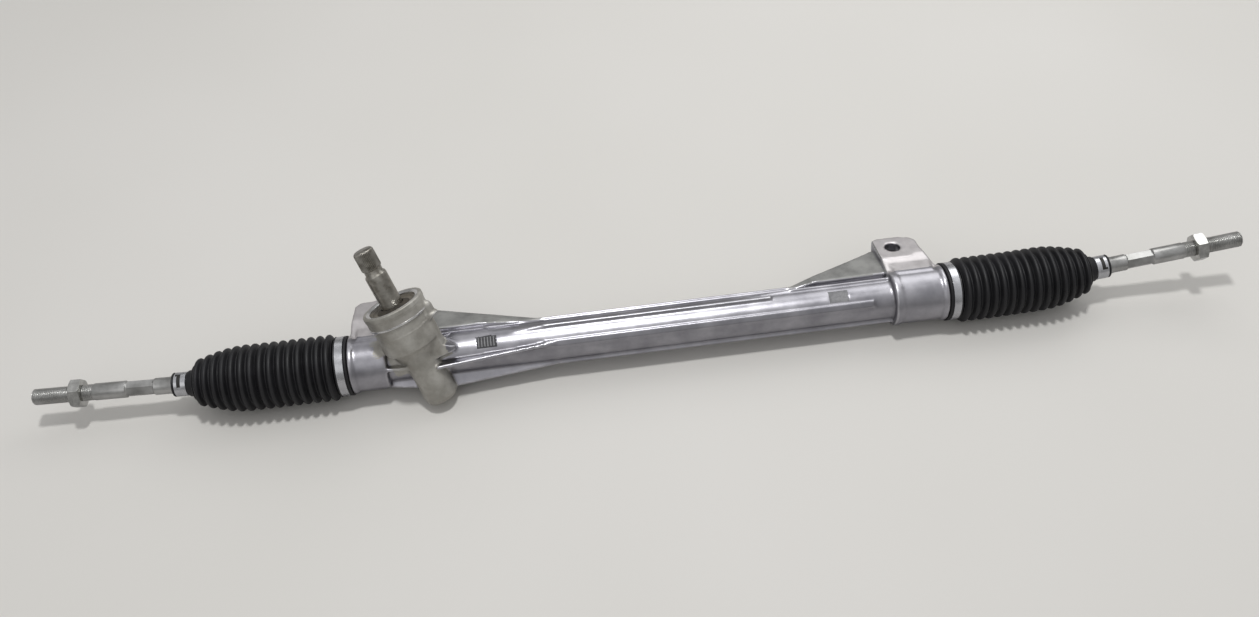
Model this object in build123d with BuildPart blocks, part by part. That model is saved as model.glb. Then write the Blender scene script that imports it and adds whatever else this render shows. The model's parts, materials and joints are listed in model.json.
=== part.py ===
from build123d import *
import os
from math import acos, cos, pi, radians, sin, sqrt, tan

# A manual rack-and-pinion steering gear: cast housing, rack, inclined pinion and two tie rods.
# Millimetres. X runs along the rack, Y points to the back and Z up from the floor at Z = 0.

# Where the rack's axis lies.
RACK_Y = -10.3
RACK_Z = 28.6

# Housing.
HOUSING_LENGTH = 540.0
CUFF_SEAT_LENGTH = 14.0
CUFF_SEAT_R = 21.6
END_SHOULDER = 1.7
LEFT_END_LENGTH = 44.0
RIGHT_END_LENGTH = 58.0
COLLAR_LENGTH = 5.0
COLLAR_RISE = 0.7
TUBE_R = 17.6
BORE_R = 14.0
MOUTH_WALL = 2.6
MOUTH_DEPTH = 17.0
RIB_RISE = 3.2
RIB_WIDTH = 3.0
RIB_RUN_OUT = 6.0
EDGE = 1.0

# Mounting ears.
EAR_SETBACK = 45.0
EAR_TILT = 14.0
EAR_BACK = 41.0
EAR_TOP = 26.0
EAR_THICK = 12.0
EAR_HOLE_R = 6.75
EAR_PAD_R = 15.0
EAR_PAD_HEIGHT = 4.0
EAR_OUTER_EDGE = 25.0
EAR_WEB_LENGTH = 78.0
EAR_WEB_FRONT = 10.0
EAR_WEB_THICK = 5.0

# Rack and pinion.
RACK_R = 12.0
RACK_LENGTH = 642.0
MODULE = 2.0
PINION_TEETH = 7
PRESSURE_ANGLE = 20.0
PROFILE_SHIFT = 0.6
BACKLASH = 0.12
GROOVES_EACH_WAY = 12
TOOTH_LINE = 7.0
PINION_TIP_R = 9.6
PINION_ROOT_R = 5.85
PINION_X = -195.0
PINION_LEAN = 18.0
PINION_TILT = 29.0
GEAR_HALF = 15.0

# Heights along the pinion's axis, from where it passes the rack.
BARREL_BOTTOM = -36.5
BARREL_R = 14.6
BUSH_BOTTOM = -33.0
BUSH_TOP = -20.0
COLLAR_BOTTOM = 16.5
TOWER_BOTTOM = 21.0
TOWER_R = 24.6
BEARING_BOTTOM = 22.0
BEARING_WIDTH = 12.0
CAP_BOTTOM = 38.0
CAP_R = 26.0
RIM_TOP = 56.0
SHAFT_TOP = 110.0
NECK_HEIGHT = 91.0

# Pinion shaft, bearing and seal.
SEAT_R = 10.0
STEM_R = 9.2
SPLINE_R = 8.6
SPLINE_NECK_R = 7.6
COLLAR_R = 11.6
JOURNAL_R = 5.6
BUSH_R = 8.0
BEARING_R = 21.0
ROLLER_R = 2.5
BEARING_ROLLERS = 10
FLANGE_WIDTH = 1.5
FLANGE_RISE = 1.0
SEAL_BOTTOM = 45.5
SEAL_TOP = 51.5
CLIP_THICK = 1.5

# Rack guide, opposite the pinion.
GUIDE_R = 9.5
GUIDE_BACK = 17.0
PAD_THICK = 0.8
BOSS_R = 13.5
BOSS_LENGTH = 27.0
PLUG_START = 21.5
PLUG_END = 32.5
GUIDE_NUT_AF = 24.0
GUIDE_NUT_THICK = 4.2

# Rack bush at the right end.
RACK_BUSH_SETBACK = 42.0
RACK_BUSH_LENGTH = 18.0

# Ball joints and tie rods, with distances from each ball's centre.
BALL_REACH = 24.0
JOINT_BALL_R = 12.0
SEAT_SHELL = 2.3
SEAT_FACETS = 6
SOCKET_R = 17.0
SOCKET_GAP = 2.0
SOCKET_FRONT = 9.0
SEAT_MOUTH = 5.0
STUD_R = 7.0
STUD_LENGTH = 9.0
NECK_R = 6.5
ROD_R = 7.2
BOOT_SEAT_R = 7.5
BOOT_SEAT_START = 45.0
BOOT_SEAT_END = 64.5
HEX_START = 78.5
HEX_END = 100.5
HEX_AF = 11.8
THREAD_START = 128.5
THREAD_R = 6.85
THREAD_PITCH_R = 6.5
ROD_TIP = 178.0
NUT_START = 137.0
NUT_THICK = 9.4
NUT_AF = 22.0

# How each rod rests, in degrees up from the rack's axis and back from it.
ROD_REST = {"left": (1.0, 1.8), "right": (8.0, -0.6)}

# Boots and clamps.
CUFF_WALL = 3.2
CUFF_BEAD_RISE = 0.7
CUFF_LIP = 4.2
BELLOWS_FOLDS = 15
INNER_WALL_FOLDS = (14, 13, 11, 9, 1)
END_WALL_R = 14.2
END_WALL_HOLE_R = 9.4
CREST_RISE_FROM_CUFF = 3.5
FOLD_DEPTH = 5.0
OUTER_CREST_R = 16.5
CREST_TAPER = 44.0
BOOT_WALL = 1.5
NECK_SLEEVE_START = 43.0
NECK_OVERLAP = 3.0
NECK_SLEEVE_R = 11.5
NECK_CLAMP_SEAT_R = 9.3
NECK_CLAMP_START = 49.2
SMALL_CLAMP_WIDTH = 11.0
SMALL_CLAMP_THICK = 0.9
NECK_SLEEVE_END = 63.0
LARGE_CLAMP_SETBACK = 9.0
LARGE_CLAMP_WIDTH = 6.5
CLAMP_THICK = 0.7

# Fits, on the radius or between faces.
FIT = 0.05
RUN = 0.3

# Places that follow from the sizes above.
HOUSING_HALF = HOUSING_LENGTH / 2
RACK_HALF = RACK_LENGTH / 2
EAR_X = HOUSING_HALF - EAR_SETBACK
CUFF_SEAT_START = HOUSING_HALF - CUFF_SEAT_LENGTH
CUFF_START = CUFF_SEAT_START + RUN
CUFF_R = CUFF_SEAT_R + CUFF_WALL
CUFF_BEAD_R = CUFF_R + CUFF_BEAD_RISE
CREST_R = CUFF_R + CREST_RISE_FROM_CUFF
LARGE_CLAMP_START = HOUSING_HALF - LARGE_CLAMP_SETBACK
END_R = CUFF_SEAT_R + END_SHOULDER
LEFT_END_START = HOUSING_HALF - LEFT_END_LENGTH
RIGHT_END_START = HOUSING_HALF - RIGHT_END_LENGTH
MOUTH_R = CUFF_SEAT_R - MOUTH_WALL
RIB_R = TUBE_R + RIB_RISE
RACK_BUSH_START = HOUSING_HALF - RACK_BUSH_SETBACK
BALL_X = RACK_HALF + BALL_REACH
SOCKET_START = RACK_HALF + SOCKET_GAP
NUT_END = NUT_START + NUT_THICK
BEARING_TOP = BEARING_BOTTOM + BEARING_WIDTH

SIDES = {"left": -1, "right": 1}
RACK_CENTRE = Vector(0, RACK_Y, RACK_Z)
RACK_LINE = Axis(tuple(RACK_CENTRE), (1, 0, 0))


def outward_plane(side):
    """The upright plane of the rack's axis, whose local x runs outward on this side and y up."""
    return Plane(origin=tuple(RACK_CENTRE), x_dir=(side, 0, 0), z_dir=(0, -side, 0))


def cross_plane(x):
    """The plane across the rack at x, whose local x points back and y up."""
    return Plane(origin=(x, RACK_Y, RACK_Z), x_dir=(0, 1, 0), z_dir=(1, 0, 0))


def radial_plane(angle):
    """The plane of the rack's axis and the radius at this angle, counted from the back over the top."""
    turn = radians(angle)
    return Plane(origin=tuple(RACK_CENTRE), x_dir=(1, 0, 0), z_dir=(0, -sin(turn), cos(turn)))


def ring_points(start, end, inner, outer):
    """The four corners of a ring's section, for a revolve about the local x axis."""
    return [(start, inner), (end, inner), (end, outer), (start, outer)]


def section(points, plane):
    """A closed half section on a plane, for a revolve."""
    with BuildSketch(plane) as profile:
        with BuildLine():
            Polyline(*points, close=True)
        make_face()
    return profile.sketch


def rod_direction(name):
    """The way the tie rod on this side points at rest."""
    up, back = (radians(value) for value in ROD_REST[name])
    return Vector(SIDES[name] * cos(up) * cos(back), cos(up) * sin(back), sin(up))


def rod_plane(name):
    """The plane of the tie rod's axis from its ball, whose local x runs out along the rod."""
    ball = RACK_CENTRE + Vector(SIDES[name] * BALL_X, 0, 0)
    along = rod_direction(name)
    return Plane(origin=tuple(ball), x_dir=tuple(along), z_dir=tuple(along.cross(Vector(0, 0, 1))))


def rod_line(name):
    """The tie rod's axis."""
    plane = rod_plane(name)
    return Axis(tuple(plane.origin), tuple(plane.x_dir))


def rod_section(name, distance):
    """The plane across the tie rod at this distance from its ball."""
    along = rod_direction(name)
    origin = rod_plane(name).origin + along * distance
    return Plane(origin=tuple(origin), x_dir=(0, 1, 0), z_dir=tuple(along))


# Pinion axis: it leans to the left, tilts back and passes in front of the rack.
LEAN = radians(PINION_LEAN)
TILT = radians(PINION_TILT)
PITCH_R = MODULE * PINION_TEETH / 2
CENTRE_DISTANCE = PITCH_R + PROFILE_SHIFT * MODULE + TOOTH_LINE
TO_RACK = Vector(0, cos(TILT), -sin(TILT))
PINION_UP = Vector(-sin(LEAN), cos(LEAN) * sin(TILT), cos(LEAN) * cos(TILT))
PINION_SIDE = Vector(cos(LEAN), sin(LEAN) * sin(TILT), sin(LEAN) * cos(TILT))
CROSSING = Vector(PINION_X, RACK_Y, RACK_Z)
PINION_FOOT = CROSSING - TO_RACK * CENTRE_DISTANCE
PINION_LINE = Axis(tuple(PINION_FOOT), tuple(PINION_UP))
PINION_HALF_PLANE = Plane(origin=tuple(PINION_FOOT), x_dir=tuple(PINION_UP), z_dir=tuple(-TO_RACK))
GUIDE_LINE = Axis(tuple(CROSSING), tuple(TO_RACK))
GUIDE_HALF_PLANE = Plane(origin=tuple(CROSSING), x_dir=tuple(TO_RACK), z_dir=tuple(PINION_SIDE))


def pinion_plane(height):
    """The plane across the pinion at this height, whose local x follows the rack and y points at it."""
    origin = PINION_FOOT + PINION_UP * height
    return Plane(origin=tuple(origin), x_dir=tuple(PINION_SIDE), z_dir=tuple(PINION_UP))


def guide_plane(distance):
    """The plane across the rack guide at this distance from the rack's axis."""
    origin = CROSSING + TO_RACK * distance
    return Plane(origin=tuple(origin), x_dir=tuple(PINION_SIDE), z_dir=tuple(TO_RACK))


# Mounting ears: both lie in one plane that tilts back.
EAR_TURN = radians(EAR_TILT)
EAR_ALONG = Vector(0, cos(EAR_TURN), -sin(EAR_TURN))
EAR_UP = Vector(0, sin(EAR_TURN), cos(EAR_TURN))


def ear_plane(side, height):
    """The ears' plane at this height over the rack's axis; local x runs outward and y back."""
    origin = RACK_CENTRE + EAR_UP * height
    return Plane(origin=tuple(origin), x_dir=(side, 0, 0), z_dir=tuple(EAR_UP * side))


# Stations of the cast housing.
WEB_OVERLAP = 6.0
GUSSET_FROM_PINION = 11.0
GUSSET_LENGTH = 100.0
BACK_RIB_LEAD = 34.0
TOP_RIB_LEAD = 14.0
TOP_RIB_END = 105.0
UPPER_RIB_START = 118.0
WEB_LEFT = 4.0 - LEFT_END_START - RIB_RUN_OUT
WEB_RIGHT = PINION_X + WEB_OVERLAP
GUSSET_START = PINION_X + GUSSET_FROM_PINION
GUSSET_END = GUSSET_START + GUSSET_LENGTH
BACK_RIB_START = GUSSET_END - BACK_RIB_LEAD
# Each rib on the tube has its angle, counted from the back over the top, its ends and its outer radius.
TUBE_RIBS = (
    (212.0, GUSSET_END, RIGHT_END_START, RIB_R),
    (84.0, GUSSET_END - TOP_RIB_LEAD, TOP_RIB_END, RIB_R - 0.4),
    (62.0, UPPER_RIB_START, RIGHT_END_START, RIB_R - 0.8),
    (40.0, BACK_RIB_START, RIGHT_END_START, RIB_R),
    (310.0, BACK_RIB_START, RIGHT_END_START, RIB_R),
)
# Each gusset has its angle and height at the barrel, then those where it meets the tube.
GUSSETS = (
    (212.0, TUBE_R + 12.4, 212.0, RIB_R),
    (152.0, TUBE_R + 11.4, 137.0, RIB_R - 1.4),
    (310.0, TUBE_R + 7.9, 310.0, RIB_R),
)
# Each web on the left has its angle and its height at the barrel and at the end.
LEFT_WEBS = (
    (150.0, TUBE_R + 9.4, END_R - 0.7),
    (214.0, TUBE_R + 10.9, END_R - 0.5),
    (305.0, TUBE_R + 7.4, END_R - 1.3),
)
DOUBLE_RIB_ANGLE = 138.0
DOUBLE_RIB_WIDTH = 6.4
DOUBLE_RIB_START = GUSSET_END - 8.0
DOUBLE_RIB_END = RIGHT_END_START - 19.0
DOUBLE_RIB_RISE = 1.2
RIB_FOOT_R = BORE_R + 1.0
EAR_FOOT_BACK = 3.0
LEFT_RECESS_FROM_PINION = 53.5
RIGHT_RECESS_SETBACK = 107.0
PAD_RECESSES = (
    (109.0, PINION_X + LEFT_RECESS_FROM_PINION),
    (104.0, HOUSING_HALF - RIGHT_RECESS_SETBACK),
)
RECESS_LENGTH = 16.0
RECESS_WIDTH = 11.0
RECESS_FLOOR_R = TUBE_R - 0.6
LUG_PLACE = (26.5, -3.0)
LUG_R = 5.5
LUG_BOTTOM = 2.0
LUG_TOP = CAP_BOTTOM + 2.0
FAIRING_BOTTOM = -6.0
END_PLUG_R = 5.0
CLIP_SEAT = SEAL_TOP + 0.2
CLIP_GROOVE = 1.2
# The bearing's inner race turns clear of the housing's floor.
RACE_RELIEF_R = (BEARING_R + SEAT_R) / 2 + ROLLER_R

# Tooth form, from the driving dimensions.
GROOVE_PITCH = pi * MODULE / cos(LEAN)
TOOTHED_LENGTH = (2 * GROOVES_EACH_WAY + 1) * GROOVE_PITCH
TIP_LINE = TOOTH_LINE + MODULE
ROOT_LINE = TOOTH_LINE - 1.25 * MODULE
SLOPE = tan(radians(PRESSURE_ANGLE))
GROOVE_HALF = pi * MODULE / 4 + BACKLASH / 2
GROOVE_ROOT_HALF = GROOVE_HALF - (TOOTH_LINE - ROOT_LINE) * SLOPE
GROOVE_MOUTH_HALF = GROOVE_HALF + (TIP_LINE + 0.5 - TOOTH_LINE) * SLOPE
BASE_R = PITCH_R * cos(radians(PRESSURE_ANGLE))


def involute(angle):
    """The involute function of a pressure angle in radians."""
    return tan(angle) - angle


def half_tooth(radius):
    """Half the angle that a pinion tooth fills at this radius."""
    start = radians(PRESSURE_ANGLE)
    full = pi / (2 * PINION_TEETH) + 2 * PROFILE_SHIFT * SLOPE / PINION_TEETH
    return full + involute(start) - involute(acos(min(1.0, BASE_R / radius)))


FLANK_STEPS = 4
FLANK_RADII = [BASE_R + (PINION_TIP_R - BASE_R) * step / FLANK_STEPS for step in range(FLANK_STEPS + 1)]
TOOTH_FOOT = BASE_R * sin(half_tooth(BASE_R)) * 0.96


def tooth_point(radius, side):
    """A point of the pinion tooth that faces the rack, on one of its flanks."""
    turn = half_tooth(radius) * side
    return (radius * sin(turn), radius * cos(turn))


with BuildPart() as gear_housing:
    # Tube, the two ends that carry the boots and the collar of the right end.
    tube = ring_points(-CUFF_SEAT_START, CUFF_SEAT_START, 0, TUBE_R)
    revolve(section(tube, outward_plane(1)), axis=RACK_LINE)
    for side, start in ((-1, LEFT_END_START), (1, RIGHT_END_START)):
        end = (
            (start, 0),
            (start, END_R - EDGE),
            (start + EDGE, END_R),
            (CUFF_SEAT_START, END_R),
            (CUFF_SEAT_START, CUFF_SEAT_R),
            (HOUSING_HALF - EDGE, CUFF_SEAT_R),
            (HOUSING_HALF, CUFF_SEAT_R - EDGE),
            (HOUSING_HALF, 0),
        )
        revolve(section(end, outward_plane(side)), axis=RACK_LINE)
    collar = ring_points(RIGHT_END_START - EDGE, RIGHT_END_START + COLLAR_LENGTH, 0, END_R + COLLAR_RISE)
    revolve(section(collar, outward_plane(1)), axis=RACK_LINE)

    # Straight ribs along the tube.
    for angle, start, end, outer in TUBE_RIBS:
        rib = (
            (start, RIB_FOOT_R),
            (end, RIB_FOOT_R),
            (end, outer),
            (start + RIB_RUN_OUT, outer),
            (start, TUBE_R - EDGE / 2),
        )
        extrude(section(rib, radial_plane(angle)), amount=RIB_WIDTH / 2, both=True)

    # The broad rib that faces up and forward.
    broad_rib = (
        (DOUBLE_RIB_START, RIB_FOOT_R),
        (DOUBLE_RIB_END, RIB_FOOT_R),
        (DOUBLE_RIB_END, TUBE_R + DOUBLE_RIB_RISE / 2),
        (DOUBLE_RIB_END - EDGE, TUBE_R + DOUBLE_RIB_RISE),
        (DOUBLE_RIB_START, TUBE_R + DOUBLE_RIB_RISE),
    )
    extrude(section(broad_rib, radial_plane(DOUBLE_RIB_ANGLE)), amount=DOUBLE_RIB_WIDTH / 2, both=True)

    # Gussets that run from the pinion's barrel down to the tube.
    for foot_angle, foot_r, end_angle, end_r in GUSSETS:
        for x, angle, outer in ((GUSSET_START, foot_angle, foot_r), (GUSSET_END, end_angle, end_r)):
            with BuildSketch(cross_plane(x)):
                with PolarLocations(0, 1, start_angle=angle):
                    with Locations(((outer + RIB_FOOT_R) / 2, 0)):
                        Rectangle(outer - RIB_FOOT_R, RIB_WIDTH)
        loft()

    # Webs between the left end and the barrel.
    for angle, barrel_r, end_r in LEFT_WEBS:
        web = ((WEB_LEFT, RIB_FOOT_R), (WEB_RIGHT, RIB_FOOT_R), (WEB_RIGHT, barrel_r), (WEB_LEFT, end_r))
        extrude(section(web, radial_plane(angle)), amount=RIB_WIDTH / 2, both=True)

    # Mounting ears, each with a block, a raised pad and the flat web on its inner side.
    for side in (-1, 1):
        block = (
            (EAR_X - EAR_PAD_R / 2, EAR_FOOT_BACK),
            (EAR_X + EAR_OUTER_EDGE, EAR_FOOT_BACK),
            (EAR_X + EAR_OUTER_EDGE, EAR_BACK / 2),
            (EAR_X + EAR_PAD_R * 0.92, EAR_BACK + EAR_PAD_R * 0.4),
            (EAR_X + EAR_PAD_R * 0.4, EAR_BACK + EAR_PAD_R * 0.92),
            (EAR_X - EAR_PAD_R, EAR_BACK + EAR_PAD_R * 0.8),
            (EAR_X - EAR_PAD_R * 1.1, EAR_BACK + EAR_PAD_R * 0.45),
        )
        with BuildSketch(ear_plane(side, EAR_TOP - EAR_THICK)):
            with BuildLine():
                Polyline(*block, close=True)
            make_face()
        extrude(amount=side * (EAR_THICK - EAR_PAD_HEIGHT / 2))
        with BuildSketch(ear_plane(side, EAR_TOP - EAR_PAD_HEIGHT)):
            with Locations((EAR_X - 0.5, EAR_BACK - 1)):
                RectangleRounded(2 * EAR_PAD_R + 1, 2 * EAR_PAD_R + 3, 0.4 * EAR_PAD_R)
        extrude(amount=side * EAR_PAD_HEIGHT)
        web = (
            (EAR_X - EAR_WEB_LENGTH, EAR_WEB_FRONT),
            (EAR_X - EAR_WEB_LENGTH, EAR_WEB_FRONT + 7),
            (EAR_X - EAR_PAD_R - 1, EAR_BACK + EAR_PAD_R * 0.4),
            (EAR_X - EAR_PAD_R / 4, EAR_BACK - EAR_WEB_FRONT),
            (EAR_X - EAR_PAD_R / 4, EAR_WEB_FRONT),
        )
        with BuildSketch(ear_plane(side, EAR_TOP - 2 * EAR_WEB_THICK)):
            with BuildLine():
                Polyline(*web, close=True)
            make_face()
        extrude(amount=side * EAR_WEB_THICK)

    # Barrel, tower and cap ring about the pinion.
    tower = (
        (BARREL_BOTTOM, 0),
        (BARREL_BOTTOM, BARREL_R - 6),
        (BARREL_BOTTOM + 1.8, BARREL_R - 2.2),
        (BARREL_BOTTOM + 5.6, BARREL_R),
        (TOWER_BOTTOM - 2, BARREL_R),
        (TOWER_BOTTOM - 2, TOWER_R - 2.5),
        (TOWER_BOTTOM + 0.5, TOWER_R),
        (CAP_BOTTOM - 0.6, TOWER_R),
        (CAP_BOTTOM, CAP_R),
        (RIM_TOP - EDGE, CAP_R),
        (RIM_TOP, CAP_R - EDGE),
        (RIM_TOP, 0),
    )
    revolve(section(tower, PINION_HALF_PLANE), axis=PINION_LINE)

    # Fairing from the tower down to the tube, and the small round lug beside the cap.
    with BuildSketch(pinion_plane(FAIRING_BOTTOM)):
        with Locations((0, TUBE_R - 5.6)):
            Circle(TUBE_R - 0.6)
    with BuildSketch(pinion_plane(TOWER_BOTTOM)):
        with Locations((0, 4)):
            Circle(TOWER_R - 3)
    loft()
    with BuildSketch(pinion_plane(LUG_BOTTOM)):
        with Locations(LUG_PLACE):
            Circle(LUG_R)
        with Locations((LUG_PLACE[0] - 7, LUG_PLACE[1])):
            Rectangle(14, 2 * LUG_R)
    extrude(amount=LUG_TOP - LUG_BOTTOM)

    # Boss of the rack guide.
    with BuildSketch(guide_plane(0)):
        Circle(BOSS_R)
    extrude(amount=BOSS_LENGTH)

    # Bores of the rack, of the pinion with its bearing, and of the rack guide.
    rack_bore = (
        (-HOUSING_HALF - EDGE, 0),
        (-HOUSING_HALF - EDGE, MOUTH_R),
        (-HOUSING_HALF + MOUTH_DEPTH, MOUTH_R),
        (-HOUSING_HALF + MOUTH_DEPTH, BORE_R),
        (HOUSING_HALF - MOUTH_DEPTH, BORE_R),
        (HOUSING_HALF - MOUTH_DEPTH, MOUTH_R),
        (HOUSING_HALF + EDGE, MOUTH_R),
        (HOUSING_HALF + EDGE, 0),
    )
    revolve(section(rack_bore, outward_plane(1)), axis=RACK_LINE, mode=Mode.SUBTRACT)
    pinion_bore = (
        (BUSH_BOTTOM, 0),
        (BUSH_BOTTOM, BUSH_R),
        (BUSH_TOP, BUSH_R),
        (BUSH_TOP, PINION_TIP_R + 1),
        (GEAR_HALF + 1, PINION_TIP_R + 1),
        (GEAR_HALF + 1, COLLAR_R + 1),
        (BEARING_BOTTOM - 1, COLLAR_R + 1),
        (BEARING_BOTTOM - 1, RACE_RELIEF_R),
        (BEARING_BOTTOM, RACE_RELIEF_R),
        (BEARING_BOTTOM, BEARING_R),
        (CLIP_SEAT - FIT, BEARING_R),
        (CLIP_SEAT - FIT, BEARING_R + CLIP_GROOVE),
        (CLIP_SEAT + CLIP_THICK + FIT, BEARING_R + CLIP_GROOVE),
        (CLIP_SEAT + CLIP_THICK + FIT, BEARING_R),
        (RIM_TOP - 1.2, BEARING_R),
        (RIM_TOP + 0.1, BEARING_R + 1.3),
        (RIM_TOP + 0.1, 0),
    )
    revolve(section(pinion_bore, PINION_HALF_PLANE), axis=PINION_LINE, mode=Mode.SUBTRACT)
    with BuildSketch(guide_plane(0)):
        Circle(GUIDE_R)
    extrude(amount=BOSS_LENGTH + 1, mode=Mode.SUBTRACT)

    # Bolt holes of the ears, the recess in the barrel's end and the two bare recesses on the tube.
    for side in (-1, 1):
        with BuildSketch(ear_plane(side, EAR_TOP - 1.5 * EAR_THICK)):
            with Locations((EAR_X, EAR_BACK)):
                Circle(EAR_HOLE_R)
        extrude(amount=side * 2 * EAR_THICK, mode=Mode.SUBTRACT)
    with BuildSketch(pinion_plane(BARREL_BOTTOM)):
        Circle(END_PLUG_R)
    extrude(amount=1, mode=Mode.SUBTRACT)
    for angle, x in PAD_RECESSES:
        recess = ring_points(x - RECESS_LENGTH / 2, x + RECESS_LENGTH / 2, RECESS_FLOOR_R, RIB_R)
        extrude(section(recess, radial_plane(angle)), amount=RECESS_WIDTH / 2, both=True, mode=Mode.SUBTRACT)
gear_housing.part.label = "gear_housing"

with BuildPart() as rack_bar:
    # Plain bar with a chamfer and a stud at each end.
    for side in (-1, 1):
        bar = (
            (0, 0),
            (0, RACK_R),
            (RACK_HALF - EDGE, RACK_R),
            (RACK_HALF, RACK_R - EDGE),
            (RACK_HALF, STUD_R),
            (RACK_HALF + STUD_LENGTH - EDGE, STUD_R),
            (RACK_HALF + STUD_LENGTH, STUD_R - EDGE),
            (RACK_HALF + STUD_LENGTH, 0),
        )
        revolve(section(bar, outward_plane(side)), axis=RACK_LINE)
    # Flat along the tips of the teeth.
    with BuildSketch(Plane(origin=tuple(CROSSING - TO_RACK * TIP_LINE), x_dir=(1, 0, 0), z_dir=tuple(-TO_RACK))):
        Rectangle(TOOTHED_LENGTH, 3 * RACK_R)
    extrude(amount=RACK_R, mode=Mode.SUBTRACT)
    # One groove lies over the crossing and the others follow at the pitch along the rack.
    for number in range(-GROOVES_EACH_WAY, GROOVES_EACH_WAY + 1):
        origin = CROSSING + Vector(number * GROOVE_PITCH, 0, 0) - PINION_UP * 2 * RACK_R
        with BuildSketch(Plane(origin=tuple(origin), x_dir=tuple(PINION_SIDE), z_dir=tuple(PINION_UP))):
            with BuildLine():
                Polyline(
                    (-GROOVE_ROOT_HALF, -ROOT_LINE),
                    (GROOVE_ROOT_HALF, -ROOT_LINE),
                    (GROOVE_MOUTH_HALF, -TIP_LINE - 0.5),
                    (-GROOVE_MOUTH_HALF, -TIP_LINE - 0.5),
                    close=True,
                )
            make_face()
        extrude(amount=4 * RACK_R, mode=Mode.SUBTRACT)
rack_bar.part.label = "rack_bar"

with BuildSketch() as tooth:
    with BuildLine():
        Spline(*(tooth_point(radius, 1) for radius in FLANK_RADII))
        ThreePointArc(tooth_point(PINION_TIP_R, 1), (0, PINION_TIP_R), tooth_point(PINION_TIP_R, -1))
        Spline(*(tooth_point(radius, -1) for radius in reversed(FLANK_RADII)))
        Polyline(
            tooth_point(BASE_R, -1),
            (-TOOTH_FOOT, PINION_ROOT_R - 1),
            (TOOTH_FOOT, PINION_ROOT_R - 1),
            tooth_point(BASE_R, 1),
        )
    make_face()

with BuildPart() as pinion_shaft:
    shaft = (
        (BUSH_BOTTOM + EDGE, 0),
        (BUSH_BOTTOM + EDGE, JOURNAL_R - EDGE),
        (BUSH_BOTTOM + 2 * EDGE, JOURNAL_R),
        (COLLAR_BOTTOM, JOURNAL_R),
        (COLLAR_BOTTOM, COLLAR_R),
        (BEARING_BOTTOM, COLLAR_R),
        (BEARING_BOTTOM, SEAT_R),
        (BEARING_TOP + 1, SEAT_R),
        (BEARING_TOP + 2, STEM_R),
        (NECK_HEIGHT - 3, STEM_R),
        (NECK_HEIGHT - 1.5, SPLINE_NECK_R),
        (NECK_HEIGHT + 1, SPLINE_NECK_R),
        (NECK_HEIGHT + 2.2, SPLINE_R),
        (SHAFT_TOP - EDGE, SPLINE_R),
        (SHAFT_TOP, SPLINE_R - EDGE),
        (SHAFT_TOP, 0),
    )
    revolve(section(shaft, PINION_HALF_PLANE), axis=PINION_LINE)
    # Seven involute teeth, one of them pointing at the rack.
    with BuildSketch(pinion_plane(-GEAR_HALF)):
        Circle(PINION_ROOT_R)
        with PolarLocations(0, PINION_TEETH):
            add(tooth.sketch)
    extrude(amount=2 * GEAR_HALF + 2)
pinion_shaft.part.label = "pinion_shaft"


# Roller bearing of the pinion: two flanged races, and the rollers in their cage.
ROLLER_CIRCLE_R = (BEARING_R + SEAT_R) / 2
ROLLER_START = BEARING_BOTTOM + FLANGE_WIDTH
ROLLER_END = BEARING_TOP - FLANGE_WIDTH

with BuildPart() as bearing_outer_race:
    race = (
        (BEARING_BOTTOM, BEARING_R - FIT),
        (BEARING_TOP, BEARING_R - FIT),
        (BEARING_TOP, ROLLER_CIRCLE_R + ROLLER_R - FLANGE_RISE),
        (ROLLER_END, ROLLER_CIRCLE_R + ROLLER_R - FLANGE_RISE),
        (ROLLER_END, ROLLER_CIRCLE_R + ROLLER_R + FIT),
        (ROLLER_START, ROLLER_CIRCLE_R + ROLLER_R + FIT),
        (ROLLER_START, ROLLER_CIRCLE_R + ROLLER_R - FLANGE_RISE),
        (BEARING_BOTTOM, ROLLER_CIRCLE_R + ROLLER_R - FLANGE_RISE),
    )
    revolve(section(race, PINION_HALF_PLANE), axis=PINION_LINE)
bearing_outer_race.part.label = "bearing_outer_race"

with BuildPart() as bearing_inner_race:
    race = (
        (BEARING_BOTTOM, SEAT_R + FIT),
        (BEARING_TOP, SEAT_R + FIT),
        (BEARING_TOP, ROLLER_CIRCLE_R - ROLLER_R - FIT),
        (BEARING_BOTTOM, ROLLER_CIRCLE_R - ROLLER_R - FIT),
    )
    revolve(section(race, PINION_HALF_PLANE), axis=PINION_LINE)
bearing_inner_race.part.label = "bearing_inner_race"

with BuildPart() as bearing_rollers:
    cage = ring_points(ROLLER_START + 2 * FIT, ROLLER_START + 1.2, ROLLER_CIRCLE_R - 1.2, ROLLER_CIRCLE_R + 1.2)
    revolve(section(cage, PINION_HALF_PLANE), axis=PINION_LINE)
    with BuildSketch(pinion_plane(ROLLER_START + 2 * FIT)):
        with PolarLocations(ROLLER_CIRCLE_R, BEARING_ROLLERS):
            Circle(ROLLER_R)
    extrude(amount=ROLLER_END - ROLLER_START - 4 * FIT)
bearing_rollers.part.label = "bearing_rollers"

with BuildPart() as lower_bush:
    bush = ring_points(BUSH_BOTTOM + 1, BUSH_TOP, JOURNAL_R + FIT, BUSH_R - FIT)
    revolve(section(bush, PINION_HALF_PLANE), axis=PINION_LINE)
lower_bush.part.label = "lower_bush"

with BuildPart() as bearing_lock_ring:
    lock = ring_points(BEARING_BOTTOM + BEARING_WIDTH, SEAL_BOTTOM - 4, STEM_R + 3, BEARING_R - FIT)
    revolve(section(lock, PINION_HALF_PLANE), axis=PINION_LINE)
    with BuildSketch(pinion_plane(SEAL_BOTTOM - 6)):
        with PolarLocations(STEM_R + 5, 4):
            Circle(1.8)
    extrude(amount=3, mode=Mode.SUBTRACT)
bearing_lock_ring.part.label = "bearing_lock_ring"

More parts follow.
